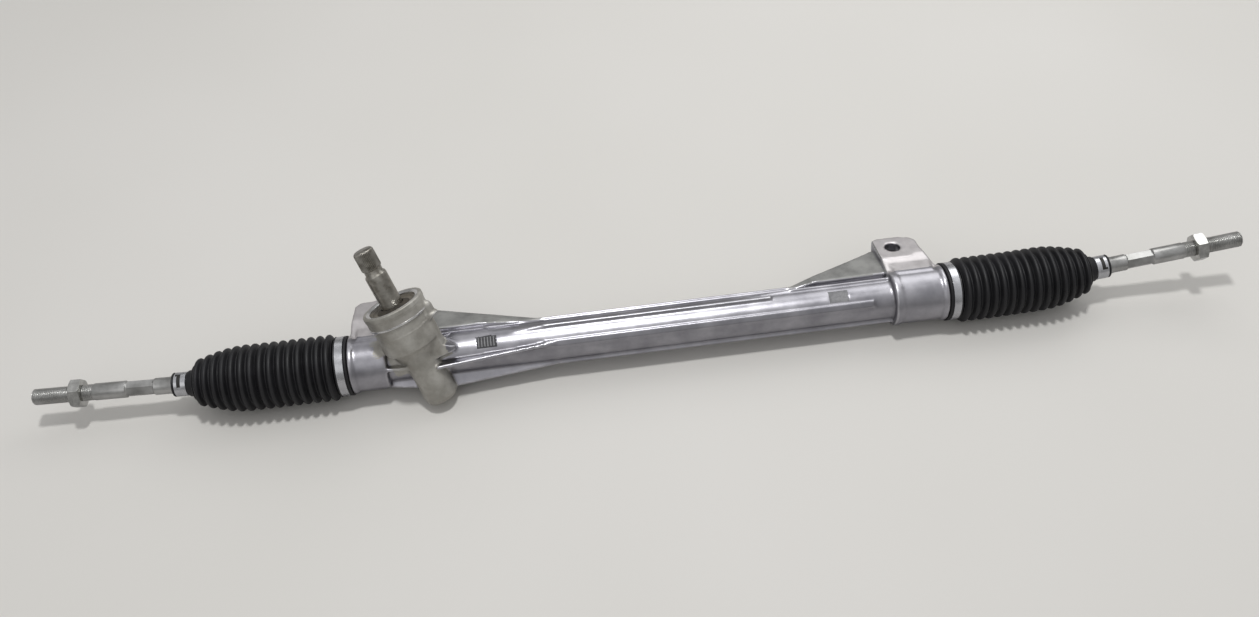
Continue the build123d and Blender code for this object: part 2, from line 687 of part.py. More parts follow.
with BuildPart() as pinion_seal:
    seal = (
        (SEAL_BOTTOM - 4, BEARING_R - FIT),
        (SEAL_TOP, BEARING_R - FIT),
        (SEAL_TOP, BEARING_R - 3),
        (SEAL_TOP - 2.5, BEARING_R - 5),
        (SEAL_TOP - 2.5, STEM_R + 3),
        (SEAL_TOP - 0.5, STEM_R + 1.4),
        (SEAL_TOP - 0.5, STEM_R + FIT),
        (SEAL_TOP - 2, STEM_R + FIT),
        (SEAL_TOP - 5, STEM_R + 1.8),
        (SEAL_BOTTOM - 4, BEARING_R - 5),
    )
    revolve(section(seal, PINION_HALF_PLANE), axis=PINION_LINE)
pinion_seal.part.label = "pinion_seal"

with BuildPart() as seal_clip:
    clip = ring_points(CLIP_SEAT, CLIP_SEAT + CLIP_THICK, BEARING_R - 2, BEARING_R + CLIP_GROOVE - 0.2)
    revolve(section(clip, PINION_HALF_PLANE), axis=PINION_LINE)
    with BuildSketch(pinion_plane(CLIP_SEAT - 1)):
        with Locations((0, BEARING_R)):
            Rectangle(9, 8)
    extrude(amount=CLIP_THICK + 2, mode=Mode.SUBTRACT)
seal_clip.part.label = "seal_clip"

# Rack guide: a yoke that presses a slide pad on the rack's back through disc springs.
SADDLE_R = RACK_R + FIT + PAD_THICK
ORING_MID = GUIDE_BACK - 2.6
ORING_R = 0.62
ORING_DEPTH = 2 * ORING_R + 2 * FIT

with BuildPart() as rack_guide:
    guide = (
        (SADDLE_R * 0.6, 0),
        (SADDLE_R * 0.6, GUIDE_R - FIT),
        (ORING_MID - 0.8, GUIDE_R - FIT),
        (ORING_MID - 0.8, GUIDE_R - ORING_DEPTH),
        (ORING_MID + 0.8, GUIDE_R - ORING_DEPTH),
        (ORING_MID + 0.8, GUIDE_R - FIT),
        (GUIDE_BACK, GUIDE_R - FIT),
        (GUIDE_BACK, 0),
    )
    revolve(section(guide, GUIDE_HALF_PLANE), axis=GUIDE_LINE)
    with BuildSketch(cross_plane(PINION_X - 2 * GUIDE_R)):
        Circle(SADDLE_R)
    extrude(amount=4 * GUIDE_R, mode=Mode.SUBTRACT)
rack_guide.part.label = "rack_guide"

with BuildPart() as guide_pad:
    with BuildSketch(guide_plane(SADDLE_R * 0.62)):
        Circle(GUIDE_R - 4 * FIT)
    extrude(amount=SADDLE_R)
    with BuildSketch(cross_plane(PINION_X - 2 * GUIDE_R)):
        Circle(SADDLE_R)
    extrude(amount=4 * GUIDE_R, mode=Mode.INTERSECT)
    with BuildSketch(cross_plane(PINION_X - 2 * GUIDE_R)):
        Circle(RACK_R + FIT)
    extrude(amount=4 * GUIDE_R, mode=Mode.SUBTRACT)
guide_pad.part.label = "guide_pad"

with BuildPart() as guide_o_ring:
    o_ring = (
        (ORING_MID - ORING_R, GUIDE_R - FIT - 2 * ORING_R),
        (ORING_MID + ORING_R, GUIDE_R - FIT - 2 * ORING_R),
        (ORING_MID + ORING_R, GUIDE_R - FIT),
        (ORING_MID - ORING_R, GUIDE_R - FIT),
    )
    revolve(section(o_ring, GUIDE_HALF_PLANE), axis=GUIDE_LINE)
guide_o_ring.part.label = "guide_o_ring"

with BuildPart() as guide_spring:
    rise = (PLUG_START - GUIDE_BACK) / 2
    discs = (
        (GUIDE_BACK, 8.6),
        (GUIDE_BACK + 0.9, 8.9),
        (GUIDE_BACK + rise, 4.2),
        (PLUG_START - 0.9, 8.9),
        (PLUG_START, 8.6),
        (GUIDE_BACK + rise + 0.9, 3.6),
        (GUIDE_BACK + rise - 0.9, 3.6),
    )
    revolve(section(discs, GUIDE_HALF_PLANE), axis=GUIDE_LINE)
guide_spring.part.label = "guide_spring"

with BuildPart() as guide_plug:
    plug = (
        (PLUG_START, 0),
        (PLUG_START, GUIDE_R - FIT),
        (PLUG_END - 0.8, GUIDE_R - FIT),
        (PLUG_END, GUIDE_R - 0.9),
        (PLUG_END, 0),
    )
    revolve(section(plug, GUIDE_HALF_PLANE), axis=GUIDE_LINE)
    with BuildSketch(guide_plane(PLUG_END - 5)):
        RegularPolygon(6, 6, major_radius=False)
    extrude(amount=6, mode=Mode.SUBTRACT)
guide_plug.part.label = "guide_plug"

with BuildPart() as guide_lock_nut:
    with BuildSketch(guide_plane(BOSS_LENGTH)):
        RegularPolygon(GUIDE_NUT_AF / 2, 6, major_radius=False)
        Circle(GUIDE_R, mode=Mode.SUBTRACT)
    extrude(amount=GUIDE_NUT_THICK)
guide_lock_nut.part.label = "guide_lock_nut"

with BuildPart() as rack_bush:
    sleeve = ring_points(
        RACK_BUSH_START, RACK_BUSH_START + RACK_BUSH_LENGTH, RACK_R + FIT, BORE_R - FIT
    )
    revolve(section(sleeve, outward_plane(1)), axis=RACK_LINE)
rack_bush.part.label = "rack_bush"

WHOLE = [
    gear_housing,
    rack_bar,
    pinion_shaft,
    bearing_outer_race,
    bearing_inner_race,
    bearing_rollers,
    lower_bush,
    bearing_lock_ring,
    pinion_seal,
    seal_clip,
    rack_guide,
    guide_pad,
    guide_o_ring,
    guide_spring,
    guide_plug,
    guide_lock_nut,
    rack_bush,
]

# Both ends carry the same pieces; the rods rest at different angles.
SHELL_R = JOINT_BALL_R + SEAT_SHELL
SEAT_STEP = pi / SEAT_FACETS


def crest_radius(from_end):
    """The outer radius of the bellows at this distance from its outer end."""
    share = min(1.0, from_end / CREST_TAPER)
    return OUTER_CREST_R + (CREST_R - OUTER_CREST_R) * sin(share * pi / 2)


def root_radius(from_end):
    """The outer radius of the bellows' grooves at this distance from its outer end."""
    return crest_radius(from_end) - FOLD_DEPTH


def faceted_arc(radius):
    """Half a circle about the ball's centre as flats that touch it, from one end of the axis to the other."""
    corner_r = radius / cos(SEAT_STEP / 2)
    turns = [(number + 0.5) * SEAT_STEP for number in range(SEAT_FACETS)]
    corners = [(BALL_X + corner_r * cos(turn), corner_r * sin(turn)) for turn in turns]
    return [(BALL_X + radius, 0), *corners, (BALL_X - radius, 0)]


def bellows_points(length):
    """The half section of the bellows: zigzag outside, with a smooth wall of few faces inside."""
    pitch = length / BELLOWS_FOLDS
    outer = [(-1.0, CUFF_R - 1.6)]
    for fold in range(BELLOWS_FOLDS):
        crest_at = (fold + 0.5) * pitch
        outer.append((crest_at, crest_radius(length - crest_at)))
        outer.append((crest_at + pitch / 2, root_radius(length - crest_at - pitch / 2)))
    outer[-1] = (length, END_WALL_R)
    inner = [
        (length, END_WALL_HOLE_R),
        (length - BOOT_WALL, END_WALL_HOLE_R),
        (length - BOOT_WALL, END_WALL_R - BOOT_WALL),
    ]
    for fold in INNER_WALL_FOLDS:
        inner.append((fold * pitch, root_radius(length - fold * pitch) - BOOT_WALL))
    inner.append((-1.0, CUFF_SEAT_R + RUN))
    return outer + inner


for name, side in SIDES.items():
    line = rod_line(name)
    plane = rod_plane(name)
    ball_centre = plane.origin
    flat = outward_plane(side)

    with BuildPart() as inner_joint_socket:
        socket = (
            (SOCKET_START, STUD_R + FIT),
            (SOCKET_START, SOCKET_R - EDGE),
            (SOCKET_START + EDGE, SOCKET_R),
            (BALL_X + 2, SOCKET_R),
            (BALL_X + SOCKET_FRONT, SOCKET_R - 3),
            (BALL_X + SOCKET_FRONT, 0),
            (RACK_HALF + STUD_LENGTH + EDGE, 0),
            (RACK_HALF + STUD_LENGTH + EDGE, STUD_R + FIT),
        )
        revolve(section(socket, flat), axis=RACK_LINE)
        cavity = faceted_arc(SHELL_R + FIT)
        revolve(section(cavity, flat), axis=RACK_LINE, mode=Mode.SUBTRACT)

    with BuildPart() as lock_washer:
        washer = ring_points(RACK_HALF + FIT, SOCKET_START - FIT, STUD_R + FIT, SOCKET_R - EDGE)
        revolve(section(washer, flat), axis=RACK_LINE)

    with BuildPart() as ball_seat:
        revolve(section(faceted_arc(SHELL_R * cos(SEAT_STEP / 2)), flat), axis=RACK_LINE)
        revolve(section(faceted_arc(JOINT_BALL_R + FIT), flat), axis=RACK_LINE, mode=Mode.SUBTRACT)
        with BuildSketch(Plane(origin=(side * (BALL_X + SEAT_MOUTH), RACK_Y, RACK_Z), z_dir=(side, 0, 0))):
            Circle(2 * SHELL_R)
        extrude(amount=SHELL_R, mode=Mode.SUBTRACT)

    with BuildPart() as tie_rod:
        rod = (
            (0, 0),
            (0, NECK_R),
            (BOOT_SEAT_START, NECK_R),
            (BOOT_SEAT_START + 0.6, BOOT_SEAT_R),
            (BOOT_SEAT_END, BOOT_SEAT_R),
            (BOOT_SEAT_END + 0.4, ROD_R),
            (THREAD_START, ROD_R),
            (THREAD_START + 0.6, THREAD_R),
            (NUT_START - RUN, THREAD_R),
            (NUT_START - RUN, THREAD_PITCH_R),
            (NUT_END + RUN, THREAD_PITCH_R),
            (NUT_END + RUN, THREAD_R),
            (ROD_TIP - 1.5, THREAD_R),
            (ROD_TIP, THREAD_R - 1.5),
            (ROD_TIP, 0),
        )
        revolve(section(rod, plane), axis=line)
        with Locations(Location(tuple(ball_centre))):
            Sphere(JOINT_BALL_R)
        with BuildSketch(rod_section(name, HEX_START)):
            Circle(2 * ROD_R)
            RegularPolygon(HEX_AF / 2, 6, major_radius=False, mode=Mode.SUBTRACT)
        extrude(amount=HEX_END - HEX_START, mode=Mode.SUBTRACT)

    with BuildPart() as lock_nut:
        nut_plane = rod_section(name, NUT_START)
        with BuildSketch(nut_plane):
            RegularPolygon(NUT_AF / 2, 6, major_radius=False)
        extrude(amount=NUT_THICK)
        nut_cone = (
            (NUT_START - 0.1, 0),
            (NUT_START - 0.1, NUT_AF / 2 - 0.3),
            (NUT_START + 1.2, NUT_AF / 2 + 2.2),
            (NUT_END - 1.2, NUT_AF / 2 + 2.2),
            (NUT_END + 0.1, NUT_AF / 2 - 0.3),
            (NUT_END + 0.1, 0),
        )
        revolve(section(nut_cone, plane), axis=line, mode=Mode.INTERSECT)
        with BuildSketch(nut_plane):
            Circle(THREAD_PITCH_R + FIT)
        extrude(amount=NUT_THICK, mode=Mode.SUBTRACT)

    with BuildPart() as boot:
        cuff = (
            (CUFF_START, CUFF_SEAT_R + FIT),
            (CUFF_START, CUFF_BEAD_R),
            (CUFF_START + CUFF_LIP, CUFF_BEAD_R),
            (CUFF_START + CUFF_LIP, CUFF_R),
            (HOUSING_HALF, CUFF_R),
            (HOUSING_HALF, CUFF_SEAT_R + FIT),
        )
        revolve(section(cuff, flat), axis=RACK_LINE)
        mouth = RACK_CENTRE + Vector(side * HOUSING_HALF, 0, 0)
        outer_end = ball_centre + rod_direction(name) * NECK_SLEEVE_START
        run = outer_end - mouth
        along = run.normalized()
        bellows_plane = Plane(
            origin=tuple(mouth), x_dir=tuple(along), z_dir=tuple(along.cross(Vector(0, 0, 1)))
        )
        revolve(section(bellows_points(run.length), bellows_plane), axis=Axis(tuple(mouth), tuple(along)))
        sleeve = (
            (NECK_SLEEVE_START - NECK_OVERLAP, NECK_SLEEVE_R - BOOT_WALL - 1.2),
            (NECK_SLEEVE_START - NECK_OVERLAP, NECK_SLEEVE_R),
            (NECK_CLAMP_START - 2, NECK_SLEEVE_R),
            (NECK_CLAMP_START - 0.3, NECK_CLAMP_SEAT_R),
            (NECK_SLEEVE_END - 1.8, NECK_CLAMP_SEAT_R),
            (NECK_SLEEVE_END - 1.8, NECK_CLAMP_SEAT_R + SMALL_CLAMP_THICK),
            (NECK_SLEEVE_END, NECK_CLAMP_SEAT_R + SMALL_CLAMP_THICK),
            (NECK_SLEEVE_END, BOOT_SEAT_R + FIT),
            (BOOT_SEAT_START + 1, BOOT_SEAT_R + FIT),
        )
        revolve(section(sleeve, plane), axis=line)

    with BuildPart() as large_clamp:
        band = ring_points(
            LARGE_CLAMP_START, LARGE_CLAMP_START + LARGE_CLAMP_WIDTH, CUFF_R + FIT, CUFF_R + CLAMP_THICK
        )
        revolve(section(band, flat), axis=RACK_LINE)

    with BuildPart() as small_clamp:
        ring = ring_points(
            NECK_CLAMP_START,
            NECK_CLAMP_START + SMALL_CLAMP_WIDTH,
            NECK_CLAMP_SEAT_R + FIT,
            NECK_CLAMP_SEAT_R + SMALL_CLAMP_THICK,
        )
        revolve(section(ring, plane), axis=line)

    pieces = {
        "inner_joint_socket": inner_joint_socket,
        "lock_washer": lock_washer,
        "ball_seat": ball_seat,
        "tie_rod": tie_rod,
        "lock_nut": lock_nut,
        "boot": boot,
        "large_clamp": large_clamp,
        "small_clamp": small_clamp,
    }
    for label, piece in pieces.items():
        piece.part.label = f"{label}_{name}"
        WHOLE.append(piece)

os.makedirs("parts", exist_ok=True)
for piece in WHOLE:
    export_step(piece.part, f"parts/{piece.part.label}.step")
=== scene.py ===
"""A manual rack-and-pinion steering gear on a pale studio floor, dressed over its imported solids."""

import json
import logging
import math
from dataclasses import dataclass
from enum import Enum, IntEnum

import bmesh
import bpy
import numpy as np
from mathutils import Matrix, Vector


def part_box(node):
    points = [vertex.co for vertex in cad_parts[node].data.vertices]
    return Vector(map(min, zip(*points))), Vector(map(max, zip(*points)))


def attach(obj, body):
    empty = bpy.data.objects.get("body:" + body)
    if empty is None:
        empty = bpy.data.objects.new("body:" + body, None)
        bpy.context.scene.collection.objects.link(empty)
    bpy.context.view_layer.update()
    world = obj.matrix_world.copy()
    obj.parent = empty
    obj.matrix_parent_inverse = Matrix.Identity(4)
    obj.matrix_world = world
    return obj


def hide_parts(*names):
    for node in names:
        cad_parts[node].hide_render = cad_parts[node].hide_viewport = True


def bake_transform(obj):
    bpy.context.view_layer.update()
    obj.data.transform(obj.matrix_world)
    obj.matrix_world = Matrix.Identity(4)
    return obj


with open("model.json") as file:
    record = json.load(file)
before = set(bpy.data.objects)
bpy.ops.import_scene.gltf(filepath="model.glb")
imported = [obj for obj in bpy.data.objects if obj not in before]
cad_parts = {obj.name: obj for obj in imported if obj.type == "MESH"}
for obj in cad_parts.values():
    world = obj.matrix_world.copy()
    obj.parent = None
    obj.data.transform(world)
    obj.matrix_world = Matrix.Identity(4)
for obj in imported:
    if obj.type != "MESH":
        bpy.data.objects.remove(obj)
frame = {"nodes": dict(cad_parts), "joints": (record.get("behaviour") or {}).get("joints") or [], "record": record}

MM = 0.001
LOG = logging.getLogger("steering_gear")
# The pinion's joint lies this far up its axis, in millimetres, from the foot that its heights count from.
PINION_JOINT_HEIGHT = 28.0


# ---------------------------------------------------------------------------------------------
# Colour and node helpers
# ---------------------------------------------------------------------------------------------


def linear(hex_colour: str) -> tuple[float, float, float, float]:
    """Turns an sRGB hex colour into the linear one that a shader takes.

    Args:
        hex_colour: A # and six hex digits.

    Returns:
        Linear red, green, blue and full alpha.
    """
    digits = hex_colour.lstrip("#")
    parts = [int(digits[i : i + 2], 16) / 255 for i in (0, 2, 4)]
    red, green, blue = (p / 12.92 if p <= 0.04045 else ((p + 0.055) / 1.055) ** 2.4 for p in parts)
    return (red, green, blue, 1.0)


def add_node(tree: bpy.types.NodeTree, kind: str, settings: dict | None = None, links: dict | None = None,
             values: dict | None = None) -> bpy.types.Node:
    """Adds a node to a tree, with its settings, input values and incoming links.

    Args:
        tree: The node tree that gets the node.
        kind: The node's type name.
        settings: Attributes to set on the node.
        links: Output sockets to link, by the name or number of the input.
        values: Default values, by the name or number of the input.

    Returns:
        The new node.
    """
    node = tree.nodes.new(kind)
    for name, value in (settings or {}).items():
        setattr(node, name, value)
    for name, value in (values or {}).items():
        node.inputs[name].default_value = value
    for name, socket in (links or {}).items():
        tree.links.new(socket, node.inputs[name])
    return node


def overlay(tree: bpy.types.NodeTree, under: bpy.types.NodeSocket | str, over: str,
            mask: bpy.types.NodeSocket, start: float, full: float,
            share: float = 1.0) -> bpy.types.NodeSocket:
    """Lays a colour over another where a mask rises from one value to a second one.

    Args:
        tree: The node tree.
        under: The colour below, as a socket or in hex.
        over: The colour on top, in hex.
        mask: The mask's socket.
        start: The mask's value where the upper colour begins.
        full: The mask's value where it is strongest.
        share: How much of it covers the lower colour there.

    Returns:
        The mixed colour's socket.
    """
    amount = add_node(tree, "ShaderNodeMapRange", links={"Value": mask},
                      values={"From Min": start, "From Max": full, "To Max": share})
    links, values = {"Factor": amount.outputs[0]}, {7: linear(over)}
    if isinstance(under, str):
        values[6] = linear(under)
    else:
        links[6] = under
    return add_node(tree, "ShaderNodeMix", {"data_type": "RGBA"}, links, values).outputs[2]


def new_material(name: str) -> tuple[bpy.types.Material, bpy.types.NodeTree, bpy.types.Node]:
    """Makes an empty node material with its output.

    Args:
        name: The material's name.

    Returns:
        The material, its node tree and its output node.
    """
    material = bpy.data.materials.new(name)
    material.use_nodes = True
    tree = material.node_tree
    tree.nodes.clear()
    return material, tree, add_node(tree, "ShaderNodeOutputMaterial")


# ---------------------------------------------------------------------------------------------
# Finishes
# ---------------------------------------------------------------------------------------------


class Grain(Enum):
    """How a metal's surface was made: the stretch, detail and roughness of its fine relief."""

    SAND = ((1.0, 1.0, 1.0), 6.0, 0.7)
    TURNED = ((1.0, 0.04, 0.04), 3.0, 0.5)
    DRAWN = ((0.02, 1.0, 1.0), 4.0, 0.5)
    PLATED = ((1.0, 1.0, 1.0), 3.0, 0.5)


@dataclass(frozen=True)
class MetalFinish:
    """A metal with patchy colour and roughness, fine relief and softened edges."""

    name: str
    light: str
    dark: str
    roughness: float
    rough_spread: float
    patch_mm: float
    grain: Grain
    grain_mm: float
    relief_mm: float
    edge_mm: float
    metallic: float = 1.0
    dirt: str = "#3A3733"
    dirt_share: float = 0.0
    dirt_mm: float = 6.0
    # The share of painted light on edges and corners, the colour of painted shade in inner corners and the colour
    # of painted highlight on edges.
    painted_light_share: float = 0.0
    painted_corner_shade: str = "#3E3D42"
    crest: str = "#F4F4F6"

    def build(self) -> bpy.types.Material:
        """Builds the node material.

        Returns:
            The finished material.
        """
        material, tree, output = new_material(self.name)
        where = add_node(tree, "ShaderNodeTexCoord").outputs["Object"]
        patches = add_node(tree, "ShaderNodeTexNoise", links={"Vector": where},
                           values={"Scale": 1 / (self.patch_mm * MM), "Detail": 5.0,
                                   "Roughness": 0.6}).outputs[0]
        rough = add_node(tree, "ShaderNodeMapRange", links={"Value": patches},
                         values={"From Min": 0.3, "From Max": 0.7,
                                 "To Min": self.roughness - self.rough_spread,
                                 "To Max": self.roughness + self.rough_spread})
        rounded = add_node(tree, "ShaderNodeBevel", {"samples": 4}, values={"Radius": self.edge_mm * MM})
        bump = add_node(tree, "ShaderNodeBump", links={"Height": self.relief(tree, where),
                                                       "Normal": rounded.outputs[0]},
                        values={"Strength": 1.0, "Distance": self.relief_mm * MM})
        shader = add_node(tree, "ShaderNodeBsdfPrincipled",
                          links={"Base Color": self.colour(tree, where, patches),
                                 "Roughness": rough.outputs[0], "Normal": bump.outputs[0]},
                          values={"Metallic": self.metallic})
        tree.links.new(shader.outputs[0], output.inputs["Surface"])
        return material

    def colour(self, tree: bpy.types.NodeTree, where: bpy.types.NodeSocket,
               patches: bpy.types.NodeSocket) -> bpy.types.NodeSocket:
        """Adds the patchy tone, with its dirt, its painted highlights on edges and its painted shade in inner
        corners.

        Args:
            tree: The material's tree.
            where: The object coordinates.
            patches: The noise that the tone follows.

        Returns:
            The colour's socket.
        """
        colour = overlay(tree, self.dark, self.light, patches, 0.35, 0.65)
        if self.dirt_share > 0:
            specks = add_node(tree, "ShaderNodeTexNoise", links={"Vector": where},
                              values={"Scale": 1 / (self.dirt_mm * MM), "Detail": 7.0, "Roughness": 0.7})
            colour = overlay(tree, colour, self.dirt, specks.outputs[0], 0.56, 0.74, self.dirt_share)
        if self.painted_light_share > 0:
            # Painted highlight on the edges that stand out and painted shade in the inner corners, by the
            # edge_curve measure.
            curve = add_node(tree, "ShaderNodeAttribute", {"attribute_name": "edge_curve"}).outputs["Fac"]
            colour = overlay(tree, colour, self.painted_corner_shade, curve, 0.0, -0.3, self.painted_light_share)
            colour = overlay(tree, colour, self.crest, curve, 0.06, 0.3, self.painted_light_share)
        return colour

    def relief(self, tree: bpy.types.NodeTree, where: bpy.types.NodeSocket) -> bpy.types.NodeSocket:
        """Adds the height field that suits how the surface was made.

        Args:
            tree: The material's tree.
            where: The object coordinates.

        Returns:
            The height's socket.
        """
        stretch, detail, roughness = self.grain.value
        stretched = add_node(tree, "ShaderNodeMapping", links={"Vector": where}, values={"Scale": stretch})
        return add_node(tree, "ShaderNodeTexNoise", links={"Vector": stretched.outputs[0]},
                        values={"Scale": 1 / (self.grain_mm * MM), "Detail": detail,
                                "Roughness": roughness}).outputs[0]


@dataclass(frozen=True)
class RubberFinish:
    """Moulded rubber or plastic: dark, softly glossy, with dust in a fine grain."""

    name: str
    colour: str
    dust: str
    roughness: float
    dust_share: float
    grain_mm: float
    relief_mm: float
    dust_mm: float = 14.0

    def build(self) -> bpy.types.Material:
        """Builds the node material.

        Returns:
            The finished material.
        """
        material, tree, output = new_material(self.name)
        where = add_node(tree, "ShaderNodeTexCoord").outputs["Object"]
        cloud = add_node(tree, "ShaderNodeTexNoise", links={"Vector": where},
                         values={"Scale": 1 / (self.dust_mm * MM), "Detail": 8.0,
                                 "Roughness": 0.65}).outputs[0]
        grain = add_node(tree, "ShaderNodeTexNoise", links={"Vector": where},
                         values={"Scale": 1 / (self.grain_mm * MM), "Detail": 3.0})
        bump = add_node(tree, "ShaderNodeBump", links={"Height": grain.outputs[0]},
                        values={"Strength": 1.0, "Distance": self.relief_mm * MM})
        rough = add_node(tree, "ShaderNodeMapRange", links={"Value": cloud},
                         values={"From Min": 0.3, "From Max": 0.7, "To Min": self.roughness - 0.07,
                                 "To Max": self.roughness + 0.1})
        colour = overlay(tree, self.colour, self.dust, cloud, 0.42, 0.75, self.dust_share)
        shader = add_node(tree, "ShaderNodeBsdfPrincipled",
                          links={"Base Color": colour, "Roughness": rough.outputs[0],
                                 "Normal": bump.outputs[0]},
                          values={"IOR": 1.5})
        tree.links.new(shader.outputs[0], output.inputs["Surface"])
        return material


# The real grain of each surface, from 0.05 to 0.3 mm, is too fine to show, so each one is drawn coarser.
# Die-cast aluminium with a fine sandy skin: reads as pale satin silver with soft, wide highlights, plus painted
# highlights on edges and painted shade in inner corners.
CAST_ALUMINIUM = MetalFinish("die_cast_aluminium_satin", "#B9B8BD", "#9B9AA0", 0.33, 0.05, 26.0,
                             Grain.SAND, 1.6, 0.03, 0.6, painted_light_share=0.75)
# The same alloy where it was left as it came from the die: matt, warmer and slightly pitted, with fainter painted
# highlights on edges and painted shade in corners.
CAST_RAW = MetalFinish("die_cast_aluminium_raw", "#C9C7C0", "#ABA8A0", 0.55, 0.07, 14.0,
                       Grain.SAND, 0.9, 0.05, 0.7, metallic=0.85, dirt="#6F6A60", dirt_share=0.25, painted_light_share=0.4)
# The recessed webs: a dull casting skin, its grey painted darker as painted shade in their recess.
CAST_WEB_SHADED = MetalFinish("die_cast_aluminium_web_shaded", "#AAAAA7", "#8A8A88", 0.6, 0.06, 18.0,
                       Grain.SAND, 1.1, 0.05, 0.7, metallic=0.85)
# The turned chamfer inside the rim and the cap's edge: nearly bare metal with a sharp glint.
TURNED_BRIGHT = MetalFinish("aluminium_turned_bright", "#EDEDEC", "#DADAD9", 0.2, 0.04, 9.0,
                            Grain.PLATED, 0.5, 0.004, 0.3)
# The moulded-in pads on the tube: darker, rough and bare.
PAD_FACE = MetalFinish("die_cast_aluminium_pad", "#8F8F90", "#757577", 0.6, 0.05, 3.0,
                       Grain.SAND, 1.4, 0.12, 0.3, metallic=0.7)
# The same pad drawn darker, behind a few raised bars.
PAD_DARK = MetalFinish("die_cast_aluminium_pad_darker", "#4E4E50", "#39393B", 0.6, 0.05, 3.0,
                       Grain.SAND, 1.4, 0.12, 0.3, metallic=0.5)
# Milled aluminium on the ears' faces: bright, with a soft sheen.
CAST_MACHINED = MetalFinish("aluminium_milled", "#DCD8D8", "#CDC9C9", 0.42, 0.05, 9.0,
                            Grain.PLATED, 0.5, 0.006, 0.3, metallic=0.9)
# Ground rack steel under a film of light grease: smooth and bright.
GROUND_STEEL = MetalFinish("induction_hardened_steel_ground", "#B9B9B7", "#9C9C9A", 0.22, 0.05, 12.0,
                           Grain.DRAWN, 0.5, 0.004, 0.25)
# Carbon steel left oiled after rolling: dark grey with brown patches.
OILED_STEEL = MetalFinish("carbon_steel_rolled_and_oiled", "#B5B2AA", "#8D8980", 0.33, 0.08, 7.0,
                          Grain.PLATED, 0.7, 0.02, 0.3, dirt="#4A4132", dirt_share=0.5)
# Zinc-plated steel, passivated: pale grey, slightly cloudy, with a soft sheen.
ZINC_DULL = MetalFinish("steel_zinc_plated_dull", "#C9C9C7", "#A7A7A4", 0.34, 0.07, 12.0,
                        Grain.TURNED, 0.6, 0.012, 0.35, dirt="#7A756A", dirt_share=0.15)
# Bright zinc on the nuts: nearly mirror-like with fine clouding.
ZINC_BRIGHT = MetalFinish("steel_zinc_plated_bright", "#DCDCD8", "#BFBFBB", 0.2, 0.06, 6.0,
                          Grain.PLATED, 0.9, 0.008, 0.4)
# Cold-rolled stainless strip: bright, with the rolling lines along the band.
STAINLESS_STRIP = MetalFinish("stainless_steel_strip_rolled", "#D6D7DA", "#C2C3C6", 0.26, 0.05, 8.0,
                              Grain.TURNED, 0.5, 0.006, 0.2)
# Spring steel, blackened: dark with a low gloss.
SPRING_STEEL = MetalFinish("spring_steel_blackened", "#56575A", "#3C3D40", 0.4, 0.06, 6.0,
                           Grain.PLATED, 0.6, 0.01, 0.2)
# Sintered bronze: warm and slightly open-grained.
SINTERED_BRONZE = MetalFinish("bronze_sintered", "#B58A55", "#8E6A3E", 0.45, 0.06, 5.0,
                              Grain.SAND, 0.5, 0.015, 0.2)
# Thermoplastic rubber for the boots: black, half matt, so the ridges catch a soft line of light.
BOOT_RUBBER = RubberFinish("thermoplastic_rubber_blow_moulded", "#101013", "#333338", 0.5, 0.2, 1.0, 0.02)
# Nitrile rubber for seals: black and matt.
SEAL_RUBBER = RubberFinish("nitrile_rubber_moulded", "#1A1917", "#4B463C", 0.55, 0.4, 0.7, 0.015)
# Dirt packed round the stem: dark, crumbly and dull.
PACKED_DIRT = RubberFinish("nitrile_rubber_caked", "#2C2823", "#5F574A", 0.75, 0.6, 1.2, 0.2)
# The dust seal in the cap: brown-grey with road dust caked in.
DUST_SEAL = RubberFinish("nitrile_rubber_dusty", "#57524A", "#8A8375", 0.6, 0.8, 0.9, 0.05)
# Acetal: natural off-white plastic with a waxy sheen.
ACETAL = RubberFinish("acetal_moulded_natural", "#DAD6C8", "#C7C2B2", 0.38, 0.4, 0.8, 0.006)

FINISH_OF_SLOT = {
    "housing_cast": CAST_ALUMINIUM,
    "rack_steel": GROUND_STEEL,
    "pinion_steel": OILED_STEEL,
    "bearing_steel": GROUND_STEEL,
    "bush_bronze": SINTERED_BRONZE,
    "seal_rubber": SEAL_RUBBER,
    "spring_steel": SPRING_STEEL,
    "guide_alloy": CAST_ALUMINIUM,
    "pad_plastic": ACETAL,
    "joint_steel": ZINC_DULL,
    "rod_steel": ZINC_DULL,
    "nut_steel": ZINC_BRIGHT,
    "boot_rubber": BOOT_RUBBER,
    "clamp_steel": STAINLESS_STRIP,
}


class FinishBook:
    """Builds each finish once and hands it out by material slot."""

    def __init__(self) -> None:
        """Starts with nothing built."""
        self.built: dict[str, bpy.types.Material] = {}

    def of(self, slot: str) -> bpy.types.Material:
        """Returns the material for one of the record's slots."""
        return self.finish(FINISH_OF_SLOT[slot])

    def finish(self, finish: MetalFinish | RubberFinish) -> bpy.types.Material:
        """Returns the material for a finish, built on first use.

        Args:
            finish: The finish.

        Returns:
            The material.
        """
        if finish.name not in self.built:
            self.built[finish.name] = finish.build()
        return self.built[finish.name]


# ---------------------------------------------------------------------------------------------
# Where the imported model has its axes
# ---------------------------------------------------------------------------------------------


def joint(name: str) -> dict:
    """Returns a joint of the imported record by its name."""
    return next(j for j in frame["joints"] if j["name"] == name)


@dataclass(frozen=True)
class Line:
    """A straight axis in the row frame, in metres."""

    origin: Vector
    along: Vector

    def matrix(self) -> Matrix:
        """Returns the matrix that puts a piece drawn along +Z from zero onto this axis."""
        turn = self.along.to_track_quat("Z", "Y").to_matrix().to_4x4()
        return Matrix.Translation(self.origin) @ turn


